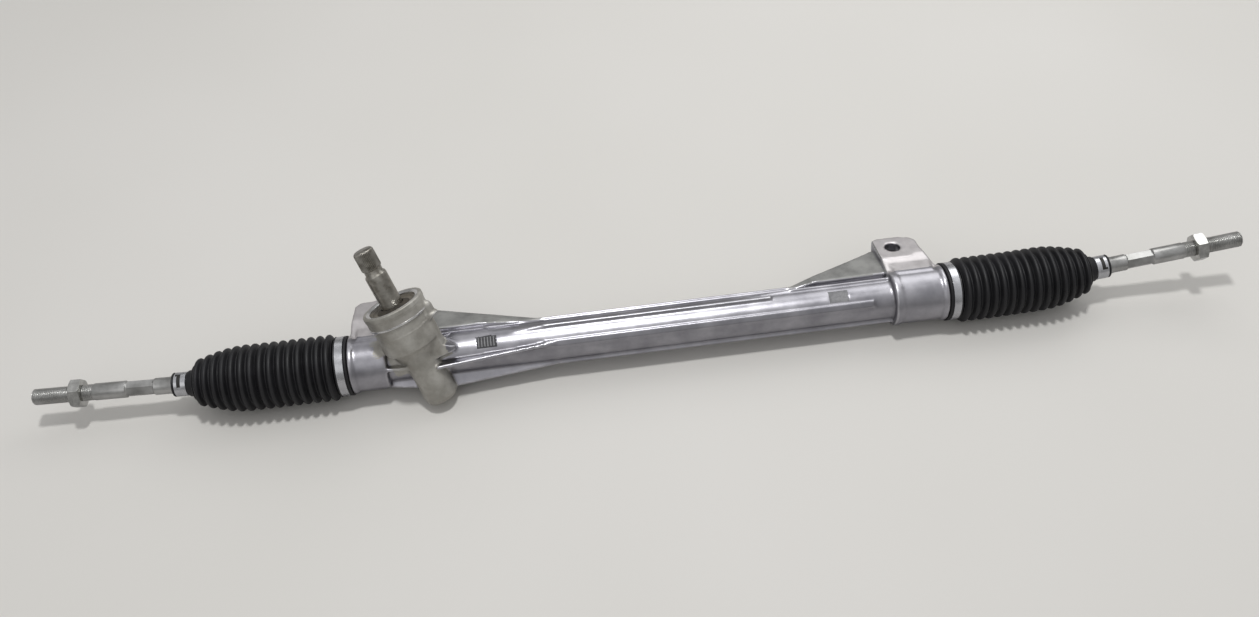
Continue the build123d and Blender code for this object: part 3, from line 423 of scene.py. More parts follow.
def rack_line(sign: float = 1.0) -> Line:
    """Returns the rack's axis, from its middle to the right, or to the left for a sign of -1."""
    low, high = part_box("rack_bar")
    return Line((low + high) / 2, Vector((sign, 0, 0)))


def pinion_line() -> Line:
    """Finds the pinion's axis.

    Returns:
        The line from its foot upward.
    """
    spin = joint("pinion_spin")
    along = Vector(spin["axis"]).normalized()
    return Line(Vector(spin["pos_m"]) - along * PINION_JOINT_HEIGHT * MM, along)


def rod_line(side: str) -> Line:
    """Returns a tie rod's axis, from its ball outward."""
    return Line(Vector(joint(f"tie_rod_pitch_{side}")["pos_m"]),
                Vector(joint(f"lock_nut_turn_{side}")["axis"]).normalized())


def tube_point(x: float, angle: float, radius: float) -> tuple[float, float, float]:
    """Returns a point about the tube.

    Args:
        x: Its place along the rack in millimetres.
        angle: Its angle in degrees, from the back over the top.
        radius: Its distance from the rack's axis in millimetres.

    Returns:
        The point in millimetres in the row frame.
    """
    axis = rack_line().origin / MM
    turn = math.radians(angle)
    return (x, axis.y + radius * math.cos(turn), axis.z + radius * math.sin(turn))


# ---------------------------------------------------------------------------------------------
# Studio
# ---------------------------------------------------------------------------------------------


@dataclass(frozen=True)
class Lamp:
    """A rectangular lamp that faces a point, in metres and watts."""

    name: str
    place: tuple[float, float, float]
    target: tuple[float, float, float]
    width: float
    depth: float
    power: float

    def hang(self) -> None:
        """Hangs the lamp in the scene."""
        light = bpy.data.lights.new(self.name, "AREA")
        light.shape = "RECTANGLE"
        light.size = self.width
        light.size_y = self.depth
        light.energy = self.power
        lamp = bpy.data.objects.new(self.name, light)
        lamp.location = self.place
        lamp.rotation_euler = (Vector(self.target) - Vector(self.place)).to_track_quat("-Z", "Y").to_euler()
        bpy.context.scene.collection.objects.link(lamp)


@dataclass
class Studio:
    """The floor, the soft lights and the camera."""

    floor_size: float = 12.0
    floor_light: str = "#E1DFDB"
    floor_dark: str = "#D6D4CE"
    floor_in_metal: str = "#B9B7B5"
    sky_top: str = "#F4F4F6"
    sky_foot: str = "#8F8E8C"
    sky_strength: float = 0.6
    # A small key overhead draws the shadows. The fill, the strip and the right lamp are soft and weak.
    lamps: tuple[Lamp, ...] = (
        Lamp("key_light", (0.02, 0.06, 2.3), (0.0, 0.0, 0.0), 0.2, 0.2, 19.5),
        Lamp("fill_light", (-0.9, -1.1, 1.3), (0.0, 0.0, 0.0), 1.2, 1.0, 1.5),
        Lamp("back_strip", (0.1, 1.5, 1.1), (0.0, 0.0, 0.05), 2.2, 0.35, 1.3),
        Lamp("right_soft", (0.75, 0.75, 1.1), (0.25, 0.0, 0.03), 0.9, 0.7, 3.2),
    )
    image_width: float = 1259.0
    sensor_mm: float = 36.0
    focal_px: float = 1125.0
    roll_deg: float = 7.03
    yaw_deg: float = 3.4
    elevation_deg: float = 50.0
    distance: float = 0.974
    aim_x: float = -0.0190
    rise: float = 0.0193

    def build(self) -> None:
        """Sets up the floor, world, lights and camera."""
        self.floor()
        self.world()
        for lamp in self.lamps:
            lamp.hang()
        self.camera()
        bpy.context.scene.view_settings.view_transform = "Standard"

    def floor(self) -> None:
        """Makes the wide pale floor, which metal sees a little darker than the camera does."""
        bpy.ops.mesh.primitive_plane_add(size=self.floor_size, location=(0, 0, 0))
        floor = bpy.context.object
        floor.name = "studio_floor"
        material, tree, output = new_material("studio_paper_floor")
        where = add_node(tree, "ShaderNodeTexCoord").outputs["Object"]
        cloud = add_node(tree, "ShaderNodeTexNoise", links={"Vector": where},
                         values={"Scale": 2.2, "Detail": 2.0})
        tint = overlay(tree, self.floor_dark, self.floor_light, cloud.outputs[0], 0.0, 1.0)
        ray = add_node(tree, "ShaderNodeLightPath").outputs["Is Glossy Ray"]
        shader = add_node(tree, "ShaderNodeBsdfPrincipled",
                          links={"Base Color": overlay(tree, tint, self.floor_in_metal, ray, 0.0, 1.0)},
                          values={"Roughness": 0.75, "Specular IOR Level": 0.2})
        tree.links.new(shader.outputs[0], output.inputs["Surface"])
        floor.data.materials.append(material)

    def world(self) -> None:
        """Lights the scene softly from all round, more from above than from the side."""
        world = bpy.data.worlds.new("studio_world")
        world.use_nodes = True
        tree = world.node_tree
        tree.nodes.clear()
        output = add_node(tree, "ShaderNodeOutputWorld")
        where = add_node(tree, "ShaderNodeTexCoord").outputs["Generated"]
        height = add_node(tree, "ShaderNodeSeparateXYZ", links={0: where}).outputs[2]
        tint = overlay(tree, self.sky_foot, self.sky_top, height, -0.1, 0.9)
        glow = add_node(tree, "ShaderNodeBackground", links={"Color": tint},
                        values={"Strength": self.sky_strength})
        tree.links.new(glow.outputs[0], output.inputs["Surface"])
        bpy.context.scene.world = world

    def camera(self) -> None:
        """Places the camera by its angles to the rack's axis."""
        yaw, tilt, roll = (math.radians(v) for v in (self.yaw_deg, self.elevation_deg, self.roll_deg))
        level = math.sqrt(1 - math.sin(yaw) ** 2 - math.sin(tilt) ** 2)
        forward = Vector((math.sin(yaw), level, -math.sin(tilt)))
        across = (Vector((1, 0, 0)) - forward * forward.x).normalized()
        upright = across.cross(forward)
        right = across * math.cos(roll) - upright * math.sin(roll)
        up = across * math.sin(roll) + upright * math.cos(roll)
        axis = rack_line().origin
        place = Vector((self.aim_x, axis.y, axis.z)) - forward * self.distance + up * self.rise
        data = bpy.data.cameras.new("camera")
        data.sensor_width = self.sensor_mm
        data.sensor_fit = "HORIZONTAL"
        data.lens = self.focal_px * self.sensor_mm / self.image_width
        camera = bpy.data.objects.new("camera", data)
        camera.matrix_world = Matrix(((right.x, up.x, -forward.x, place.x),
                                      (right.y, up.y, -forward.y, place.y),
                                      (right.z, up.z, -forward.z, place.z),
                                      (0, 0, 0, 1)))
        bpy.context.scene.collection.objects.link(camera)
        bpy.context.scene.camera = camera


# ---------------------------------------------------------------------------------------------
# Meshes made in the script
# ---------------------------------------------------------------------------------------------


def add_piece(name: str, mesh: bpy.types.Mesh, material: bpy.types.Material | None = None,
              body: str | None = None, node: str | None = None) -> bpy.types.Object:
    """Links a mesh into the scene as a piece at the origin.

    Args:
        name: The piece's name.
        mesh: Its mesh, already in its place.
        material: The material of all its faces, if it has none yet.
        body: The body that it rides, if it rides one alone.
        node: The CAD node that it stands for, if any.

    Returns:
        The piece's object.
    """
    mesh.name = name
    piece = bpy.data.objects.new(name, mesh)
    bpy.context.scene.collection.objects.link(piece)
    if material is not None:
        mesh.materials.clear()
        mesh.materials.append(material)
    if body is not None:
        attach(piece, body)
    if node is not None:
        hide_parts(node)
    LOG.info("piece %s: %d faces", name, len(mesh.polygons))
    return piece


def face_outward(mesh: bpy.types.Mesh) -> None:
    """Turns the faces of a closed mesh so that its volume is positive.

    Args:
        mesh: The closed mesh.
    """
    work = bmesh.new()
    work.from_mesh(mesh)
    bmesh.ops.recalc_face_normals(work, faces=work.faces)
    if work.calc_volume(signed=True) < 0:
        bmesh.ops.reverse_faces(work, faces=work.faces)
    work.to_mesh(mesh)
    work.free()


def mesh_of(work: bmesh.types.BMesh, name: str) -> bpy.types.Mesh:
    """Ends a bmesh as a plain mesh.

    Args:
        work: The bmesh, which is freed.
        name: The mesh's name.

    Returns:
        The mesh.
    """
    mesh = bpy.data.meshes.new(name)
    work.to_mesh(mesh)
    work.free()
    return mesh


def shade(mesh: bpy.types.Mesh, smooth_below: float) -> None:
    """Shades a mesh smooth, apart from the edges that turn by more than this angle in degrees."""
    mesh.polygons.foreach_set("use_smooth", [True] * len(mesh.polygons))
    mesh.set_sharp_from_angle(angle=math.radians(smooth_below))


def add_ring(work: bmesh.types.BMesh, height: float, radius: float, steps: int) -> list[bmesh.types.BMVert]:
    """Adds a ring of vertices about the Z axis, or a single one on the axis.

    Args:
        work: The bmesh.
        height: The ring's height in millimetres.
        radius: Its radius in millimetres.
        steps: The number of vertices around.

    Returns:
        The vertices in order.
    """
    if radius < 1e-6:
        return [work.verts.new((0, 0, height * MM))]
    turns = [2 * math.pi * step / steps for step in range(steps)]
    return [work.verts.new((radius * MM * math.cos(turn), radius * MM * math.sin(turn), height * MM))
            for turn in turns]


def join_rings(work: bmesh.types.BMesh, rings: list[list[bmesh.types.BMVert]], looped: bool) -> None:
    """Joins each ring of vertices to the next one with faces.

    Args:
        work: The bmesh.
        rings: The rings in order. A ring of one vertex is a point.
        looped: Whether the last ring joins the first. If not, both ends get a flat face.
    """
    for one, two in zip(rings, rings[1:] + (rings[:1] if looped else [])):
        steps = max(len(one), len(two))
        if steps == 1:
            continue
        for step in range(steps):
            after = (step + 1) % steps
            corners = [one[step % len(one)], one[after % len(one)],
                       two[after % len(two)], two[step % len(two)]]
            work.faces.new(list(dict.fromkeys(corners)))
    if not looped:
        work.faces.new(list(reversed(rings[0])))
        work.faces.new(rings[-1])


def lathe(profile: list[tuple[float, float]], steps: int = 64, smooth_below: float = 35.0) -> bpy.types.Mesh:
    """Turns a closed profile about the Z axis.

    Args:
        profile: Height and radius pairs in millimetres, listed once round the section.
        steps: The number of faces around.
        smooth_below: Edges flatter than this angle in degrees are shaded smooth.

    Returns:
        The closed mesh, in metres along +Z.
    """
    work = bmesh.new()
    join_rings(work, [add_ring(work, height, radius, steps) for height, radius in profile], looped=True)
    mesh = mesh_of(work, "lathe")
    face_outward(mesh)
    shade(mesh, smooth_below)
    return mesh


def prism(sides: int, flats: float, start: float, end: float, chamfer: float) -> bpy.types.Mesh:
    """Makes a regular prism along +Z, with its corners chamfered as on a nut.

    Args:
        sides: The number of flats.
        flats: The distance across the flats in millimetres.
        start: Its lower height in millimetres.
        end: Its upper height in millimetres.
        chamfer: How much of the corners is cut off at each end, in millimetres.

    Returns:
        The closed mesh, in metres.
    """
    corner = flats / 2 / math.cos(math.pi / sides)
    slope = chamfer * 0.6
    levels = [(start, corner - chamfer), (start + slope, corner), (end - slope, corner),
              (end, corner - chamfer)]
    work = bmesh.new()
    join_rings(work, [add_ring(work, height, radius, sides) for height, radius in levels], looped=False)
    mesh = mesh_of(work, "prism")
    face_outward(mesh)
    return mesh


def arc_block(inner: float, outer: float, start: float, end: float, low: float,
              high: float) -> bpy.types.Mesh:
    """Makes a curved block about the Z axis, with a section for every 5 degrees.

    Args:
        inner: Inner radius in millimetres.
        outer: Outer radius in millimetres.
        start: Its lower end along Z in millimetres.
        end: Its upper end along Z in millimetres.
        low: Its first angle in degrees.
        high: Its last angle in degrees.

    Returns:
        The closed mesh, in metres.
    """
    steps = max(2, round(abs(high - low) / 5))
    work = bmesh.new()
    rings = []
    for number in range(steps + 1):
        turn = math.radians(low + (high - low) * number / steps)
        rings.append([work.verts.new(Vector((radius * math.cos(turn), radius * math.sin(turn), z)) * MM)
                      for radius, z in ((inner, start), (outer, start), (outer, end), (inner, end))])
    join_rings(work, rings, looped=False)
    mesh = mesh_of(work, "arc")
    face_outward(mesh)
    return mesh


def hull_of(points: list[tuple[float, float, float]]) -> bpy.types.Mesh:
    """Wraps points in their convex hull.

    Args:
        points: The points in millimetres.

    Returns:
        The closed mesh, in metres.
    """
    work = bmesh.new()
    for point in points:
        work.verts.new(Vector(point) * MM)
    result = bmesh.ops.convex_hull(work, input=work.verts)
    spare = {v for v in result["geom_interior"] if isinstance(v, bmesh.types.BMVert)}
    bmesh.ops.delete(work, geom=list(spare), context="VERTS")
    mesh = mesh_of(work, "hull")
    face_outward(mesh)
    return mesh


def merged(parts: list[bpy.types.Mesh]) -> bpy.types.Mesh:
    """Puts several closed meshes into one.

    Args:
        parts: The meshes, all in one frame.

    Returns:
        One mesh with all of them as shells.
    """
    work = bmesh.new()
    for part in parts:
        work.from_mesh(part)
    return mesh_of(work, "merged")


def cad_copy(node: str) -> bpy.types.Mesh:
    """Copies a CAD node's mesh and joins its loose triangles.

    Args:
        node: The node's name.

    Returns:
        The joined mesh, in the row frame.
    """
    work = bmesh.new()
    work.from_mesh(frame["nodes"][node].data)
    bmesh.ops.remove_doubles(work, verts=work.verts, dist=2e-6)
    return mesh_of(work, node + "_copy")


def modified(mesh: bpy.types.Mesh, *steps: tuple[str, dict]) -> bpy.types.Mesh:
    """Runs modifiers on a mesh and leaves none behind.

    Args:
        mesh: The mesh.
        *steps: The type of each modifier with its settings.

    Returns:
        The changed mesh.
    """
    host = bpy.data.objects.new("host", mesh)
    bpy.context.scene.collection.objects.link(host)
    for kind, settings in steps:
        modifier = host.modifiers.new(kind.lower(), kind)
        for name, value in settings.items():
            setattr(modifier, name, value)
    depsgraph = bpy.context.evaluated_depsgraph_get()
    depsgraph.update()
    result = bpy.data.meshes.new_from_object(host.evaluated_get(depsgraph))
    host.modifiers.clear()
    bpy.data.objects.remove(host)
    return result


def triples(items: bpy.types.bpy_prop_collection, attribute: str) -> np.ndarray:
    """Reads a vector of every vertex or face.

    Args:
        items: The mesh's vertices or polygons.
        attribute: The vector's name.

    Returns:
        One row for each item.
    """
    values = np.empty(len(items) * 3)
    items.foreach_get(attribute, values)
    return values.reshape(-1, 3)


def between(values: np.ndarray, low: float, high: float) -> np.ndarray:
    """Returns where the values lie between two limits."""
    return (values > low) & (values < high)


# ---------------------------------------------------------------------------------------------
# Geometry Nodes: surfaces given by a formula along and around an axis
# ---------------------------------------------------------------------------------------------


class Field:
    """A value in a node tree, which plain arithmetic turns into further nodes."""

    def __init__(self, flow: "Flow", socket: bpy.types.NodeSocket) -> None:
        """Keeps the tree's writer and the value's socket.

        Args:
            flow: The writer of the tree.
            socket: The output socket that holds the value.
        """
        self.flow = flow
        self.socket = socket

    def __add__(self, other: object) -> "Field":
        """Returns the sum."""
        return self.flow.work_out("ADD", self, other)

    def __sub__(self, other: object) -> "Field":
        """Returns the difference."""
        return self.flow.work_out("SUBTRACT", self, other)

    def __rsub__(self, other: object) -> "Field":
        """Returns the difference from a number."""
        return self.flow.work_out("SUBTRACT", other, self)

    def __mul__(self, other: object) -> "Field":
        """Returns the product."""
        return self.flow.work_out("MULTIPLY", self, other)

    def __truediv__(self, other: object) -> "Field":
        """Returns the quotient."""
        return self.flow.work_out("DIVIDE", self, other)

    def __pow__(self, other: object) -> "Field":
        """Returns the power."""
        return self.flow.work_out("POWER", self, other)


class Flow:
    """A Geometry Nodes tree that bends a grid into a closed surface by a formula."""

    def __init__(self, name: str, sizes: dict[str, float], rows: int, around: int) -> None:
        """Starts a tree with one input for each named size and with its grid.

        Args:
            name: The tree's name.
            sizes: The default value of each input.
            rows: Vertices along the surface.
            around: Vertices around it.
        """
        self.tree = bpy.data.node_groups.new(name, "GeometryNodeTree")
        self.tree.interface.new_socket("Geometry", in_out="OUTPUT", socket_type="NodeSocketGeometry")
        self.identifiers: dict[str, str] = {}
        for size, value in sizes.items():
            item = self.tree.interface.new_socket(size, in_out="INPUT", socket_type="NodeSocketFloat")
            item.default_value = value
            self.identifiers[size] = item.identifier
        inputs = add_node(self.tree, "NodeGroupInput")
        self.sizes = {size: Field(self, inputs.outputs[size]) for size in sizes}
        self.grid = add_node(self.tree, "GeometryNodeMeshGrid",
                             values={"Size X": 1.0, "Size Y": 1.0, "Vertices X": rows, "Vertices Y": around})
        place = add_node(self.tree, "ShaderNodeSeparateXYZ",
                         links={0: add_node(self.tree, "GeometryNodeInputPosition").outputs[0]})
        self.along = Field(self, place.outputs[0]) + 0.5
        self.turn = Field(self, place.outputs[1]) + 0.5

    def put(self, kind: str, settings: dict, *values: object) -> Field:
        """Adds a node whose numbered inputs are fields, plain values or None to skip one.

        Args:
            kind: The node's type name.
            settings: Attributes to set on the node.
            *values: What goes into its inputs, in order.

        Returns:
            Its first output.
        """
        links = {number: value.socket for number, value in enumerate(values) if isinstance(value, Field)}
        plain = {number: value for number, value in enumerate(values)
                 if value is not None and not isinstance(value, Field)}
        return Field(self, add_node(self.tree, kind, settings, links, plain).outputs[0])

    def work_out(self, operation: str, *values: object) -> Field:
        """Adds a step of the formula, on numbers or, if any value is one, on vectors.

        Args:
            operation: The operation's name, or CLAMP to hold a value between 0 and 1.
            *values: Fields, numbers or triples. SCALE has the vector and then its factor.

        Returns:
            The result.
        """
        if operation == "CLAMP":
            return self.put("ShaderNodeClamp", {}, *values)
        if operation == "SCALE":
            values = (values[0], None, None, values[1])
        vectors = [value for value in values
                   if isinstance(value, tuple) or isinstance(value, Field) and value.socket.type == "VECTOR"]
        kind = "ShaderNodeVectorMath" if vectors else "ShaderNodeMath"
        return self.put(kind, {"operation": operation}, *values)

    def polar(self, radius: Field) -> tuple[Field, Field]:
        """Returns both coordinates of the surface's point at this radius, once round for the grid's width.

        Args:
            radius: The radius.

        Returns:
            The two coordinates.
        """
        angle = self.turn * (2 * math.pi)
        return radius * self.work_out("COSINE", angle), radius * self.work_out("SINE", angle)

    def finish(self, position: Field, material: bpy.types.Material) -> None:
        """Moves the grid to its formula, closes its seams and ends the tree.

        Args:
            position: Where each vertex goes.
            material: The material of every face.
        """
        moved = add_node(self.tree, "GeometryNodeSetPosition",
                         links={"Geometry": self.grid.outputs[0], "Position": position.socket})
        closed = add_node(self.tree, "GeometryNodeMergeByDistance", links={0: moved.outputs[0]},
                          values={"Distance": 2e-6})
        smooth = add_node(self.tree, "GeometryNodeSetShadeSmooth", links={0: closed.outputs[0]})
        real = add_node(self.tree, "GeometryNodeRealizeInstances", links={0: smooth.outputs[0]})
        coated = add_node(self.tree, "GeometryNodeSetMaterial", links={0: real.outputs[0]},
                          values={"Material": material})
        add_node(self.tree, "NodeGroupOutput", links={0: coated.outputs[0]})

    def evaluate(self, sizes: dict[str, float]) -> bpy.types.Mesh:
        """Runs the tree once with these sizes.

        Args:
            sizes: The value of each named input to set.

        Returns:
            The plain mesh.
        """
        host = bpy.data.objects.new("host", bpy.data.meshes.new("host"))
        bpy.context.scene.collection.objects.link(host)
        modifier = host.modifiers.new("form", "NODES")
        modifier.node_group = self.tree
        for name, value in sizes.items():
            modifier[self.identifiers[name]] = value
        depsgraph = bpy.context.evaluated_depsgraph_get()
        depsgraph.update()
        mesh = bpy.data.meshes.new_from_object(host.evaluated_get(depsgraph))
        host.modifiers.remove(modifier)
        bpy.data.objects.remove(host)
        face_outward(mesh)
        return mesh


def ridged_form(name: str, material: bpy.types.Material, rows: int, around: int,
                sizes: dict[str, float]) -> Flow:
    """Builds the tree of a shaft along +Z with a screw thread or straight serrations.

    Args:
        name: The tree's name.
        material: The shaft's material.
        rows: Vertices along the axis.
        around: Vertices around it.
        sizes: Start, End, Radius, Depth and Chamfer in millimetres, then the ridges: Screw is how many of
            them pass for each millimetre along and Ridges how many once around, Slope sharpens their flanks
            and Flat widens their crests.

    Returns:
        The tree.
    """
    flow = Flow(name, sizes, rows, around)
    start, end, radius = flow.sizes["Start"], flow.sizes["End"], flow.sizes["Radius"]
    # The first and the last row shrink to the axis and close the ends.
    height = start + flow.work_out("CLAMP", (flow.along * (rows - 1.0) - 1.0) / (rows - 3.0)) * (end - start)
    phase = flow.work_out("FRACT", height * flow.sizes["Screw"] + flow.turn * flow.sizes["Ridges"])
    groove = flow.work_out("ABSOLUTE", phase * 2.0 - 1.0) * flow.sizes["Slope"] - flow.sizes["Flat"]
    ridged = radius - flow.sizes["Depth"] * flow.work_out("CLAMP", groove)
    end_gap = flow.work_out("MINIMUM", end - height, height - start)
    ridged = flow.work_out("MINIMUM", ridged, radius - flow.sizes["Chamfer"] + end_gap)
    open_row = (flow.work_out("GREATER_THAN", flow.along, 0.5 / (rows - 1))
                * flow.work_out("LESS_THAN", flow.along, 1 - 0.5 / (rows - 1)))
    place = flow.put("ShaderNodeCombineXYZ", {}, *flow.polar(ridged * open_row * MM), height * MM)
    flow.finish(place, material)
    return flow


@dataclass
class BellowsPath:
    """The middle line of a boot's bellows: level at the housing and along the rod at its outer end."""

    start: Vector
    start_along: Vector
    end: Vector
    end_along: Vector

    def corners(self) -> list[Vector]:
        """Returns the four control points of the curve."""
        reach = (self.end - self.start).length / 3
        return [self.start, self.start + self.start_along * reach,
                self.end - self.end_along * reach, self.end]


def bellows_form(material: bpy.types.Material, path: BellowsPath, rows: int, around: int,
                 sizes: dict[str, float]) -> Flow:
    """Builds the tree of a length of bellows on a curved middle line, with its inner wall.

    Args:
        material: The rubber.
        path: The middle line.
        rows: Vertices along the section, outside and inside together.
        around: Vertices around.
        sizes: From and To are shares of the line's length, and Folds is a number. In millimetres follow the
            Length of the line, the radius of its Crest and of its Outer Crest, the Taper between them, the
            folds' Depth and the Wall.

    Returns:
        The tree.
    """
    flow = Flow("bellows", sizes, rows, around)
    start, crest, depth = flow.sizes["From"], flow.sizes["Crest"], flow.sizes["Depth"]
    # Four fifths of the rows run out along the outside and the rest come back along the inner wall.
    outside = flow.work_out("LESS_THAN", flow.along, 0.8)
    share = (outside * flow.work_out("CLAMP", flow.along / 0.79)
             + (1.0 - outside) * flow.work_out("CLAMP", (1.0 - flow.along) / 0.19))
    # The last row falls on the first, so the section is a closed loop.
    closing = flow.work_out("GREATER_THAN", flow.along, 1 - 0.5 / (rows - 1))
    outside = flow.work_out("MAXIMUM", outside, closing)
    share = start + share * (flow.sizes["To"] - start)
    from_end = flow.work_out("CLAMP", (1.0 - share) * flow.sizes["Length"] / flow.sizes["Taper"])
    crest = (flow.sizes["Outer Crest"]
             + (crest - flow.sizes["Outer Crest"]) * flow.work_out("SINE", from_end * (math.pi / 2)))
    wave = flow.work_out("COSINE", share * flow.sizes["Folds"] * (2 * math.pi))
    outer = crest - depth * (wave * 0.5 + 0.5) ** 1.5
    inner = crest - depth - flow.sizes["Wall"]
    radius = (outside * outer + (1.0 - outside) * inner) * MM
    left = 1.0 - share
    corners = path.corners()
    centre = flow.work_out("SCALE", tuple(corners[0]), left * left * left)
    for corner, weight in zip(corners[1:], (left * left * share * 3.0, left * share * share * 3.0,
                                            share * share * share)):
        centre = centre + flow.work_out("SCALE", tuple(corner), weight)
    steps = [tuple(after - before) for before, after in zip(corners, corners[1:])]
    ahead = flow.work_out("SCALE", steps[0], left * left)
    for step, weight in zip(steps[1:], (left * share * 2.0, share * share)):
        ahead = ahead + flow.work_out("SCALE", step, weight)
    ahead = flow.work_out("NORMALIZE", ahead)
    across = flow.work_out("NORMALIZE", flow.work_out("CROSS_PRODUCT", (0.0, 0.0, 1.0), ahead))
    upright = flow.work_out("CROSS_PRODUCT", ahead, across)
    sideways, upward = flow.polar(radius)
    position = centre + flow.work_out("SCALE", across, sideways) + flow.work_out("SCALE", upright, upward)
    flow.finish(position, material)
    return flow


# ---------------------------------------------------------------------------------------------
# Sub-assemblies
# ---------------------------------------------------------------------------------------------


@dataclass(frozen=True)
class Ear:
    """What the casting adds at one mounting ear: blocks round its hole, the skirt before it and its web.

    Lengths along the rack count from its middle. The others are in the tilted frame of the ears.
    """

    sign: int
    rim_x: float
    foot_x: float
    web_end_x: float
    hole_x: float = 225.0
    inner_x: float = 209.5
    half_hole: float = 7.5
    hole_front: float = 33.4
    hole_back: float = 48.6
    back: float = 55.0
    top: float = 26.0
    bottom: float = 15.0
    web_x: tuple[float, float] = (211.0, 146.0)
    tilt_deg: float = 14.0

    def point(self, x: float, back: float, height: float) -> tuple[float, float, float]:
        """Returns a point given in the tilted frame of the ears.

        Args:
            x: Its place along the rack in millimetres, positive towards this ear.
            back: How far back it lies.
            height: How high it lies over the rack's axis.

        Returns:
            The point in millimetres in the row frame.
        """
        tilt = math.radians(self.tilt_deg)
        axis = rack_line().origin / MM
        return (self.sign * x, axis.y + back * math.cos(tilt) + height * math.sin(tilt),
                axis.z - back * math.sin(tilt) + height * math.cos(tilt))

    def blocks(self) -> list[list[tuple[float, float, float]]]:
        """Gives the blocks that surround the hole.

        Returns:
            The corners of each of the three.
        """
        inner, rim, front, back = self.inner_x, self.rim_x, self.hole_front, self.hole_back
        west, east = self.hole_x - self.half_hole, self.hole_x + self.half_hole
        outlines = (
            [(inner, self.back), (rim - 7.0, self.back), (rim - 1.5, 50.0), (rim - 1.0, back), (inner, back)],
            [(inner, back), (west, back), (west, front), (inner, front)],
            [(east, back), (rim - 1.0, back), (rim, front), (east, front)],
        )
        return [[(*corner, height) for corner in outline for height in (self.top, self.bottom)]
                for outline in outlines]

    def skirt(self) -> list[tuple[float, float, float]]:
        """Gives the skirt, which falls from the hole's front to the tube.

        Returns:
            Its corners.
        """
        inner, rim, foot, front = self.inner_x, self.rim_x, self.foot_x, self.hole_front
        return [(inner, front, self.top), (rim, front, self.top), (rim + 0.5, 28.0, self.top),
                (inner, 28.0, self.top), (inner, 7.0, 21.4), (foot, 7.0, 21.4), (foot - 3.0, 22.0, 21.2),
                (inner, front, self.bottom), (rim, front, self.bottom), (inner, 8.0, 8.0), (foot, 8.0, 8.0)]

    def web(self) -> list[tuple[float, float, float]]:
        """Gives the web, which runs out along the tube.

        Returns:
            Its corners.
        """
        near, middle = self.web_x
        return [(near, 47.0, 20.6), (near, 10.0, 20.6), (middle, 18.0, 21.1), (middle, 9.4, 21.1),
                (near, 47.0, 17.0), (near, 10.0, 15.0), (self.web_end_x, 8.6, 15.0),
                (self.web_end_x, 11.4, 14.6), (self.web_end_x, 8.6, 12.0)]

    def meshes(self) -> list[bpy.types.Mesh]:
        """Returns the closed meshes of all its forms."""
        return [hull_of([self.point(*corner) for corner in form])
                for form in (*self.blocks(), self.skirt(), self.web())]


@dataclass(frozen=True)
class LeadIn:
    """A slim run of metal on the tube, given by its angle, station and radius at both ends."""

    start: tuple[float, float, float]
    end: tuple[float, float, float]
    width: float
    root_r: float = 15.2

    def mesh(self) -> bpy.types.Mesh:
        """Makes the run.

        Returns:
            The closed mesh.
        """
        corners = []
        for angle, x, radius in (self.start, self.end):
            for off in (-self.width / 2, self.width / 2):
                corners += [tube_point(x, angle + math.degrees(off / reach), reach)
                            for reach in (self.root_r, radius)]
        return hull_of(corners)


@dataclass(frozen=True)
class Lug:
    """The small round-ended lug that stands beside the tower, in millimetres over the pinion's foot."""

    angle: float = -6.5
    bottom: float = 38.0
    top: float = 51.5
    radius: float = 4.4
    from_axis: float = 26.0
    tip_steps: int = 2
    tip_step_deg: float = 42.0
    sides: int = 12

    def way(self) -> Vector:
        """Finds where the lug stands.

        Returns:
            The unit vector from the pinion's axis towards it.
        """
        along = pinion_line().along
        way = (Vector((1, 0, 0)) - along * along.x).normalized()
        return Matrix.Rotation(math.radians(self.angle), 3, along) @ way

    def mesh(self) -> bpy.types.Mesh:
        """Makes the lug.

        Returns:
            The closed mesh.
        """
        foot, way = pinion_line(), self.way()
        side = foot.along.cross(way)
        points = []
        for height in (self.bottom, self.top - self.radius):
            centre = foot.origin / MM + foot.along * height + way * self.from_axis
            for step in range(-self.tip_steps, self.tip_steps + 1):
                rise = math.radians(step * self.tip_step_deg)
                for number in range(self.sides):
                    turn = 2 * math.pi * number / self.sides
                    outward = way * math.cos(turn) + side * math.sin(turn)
                    points.append(tuple(centre + outward * self.radius * math.cos(rise)
                                        + foot.along * self.radius * math.sin(rise)))
        return hull_of(points)


@dataclass(frozen=True)
class Pad:
    """A flat pad that is cast on the tube, with its own skin."""

    x: float
    angle: float
    half_length: float = 8.6
    half_turn: float = 18.5
    radius: float = 16.2


class Skin(IntEnum):
    """The skins of the housing, in the order of its materials."""

    TUBE = 0
    TOWER = 1
    MACHINED = 2
    WEB = 3
    PLAIN_PAD = 4
    BARRED_PAD = 5


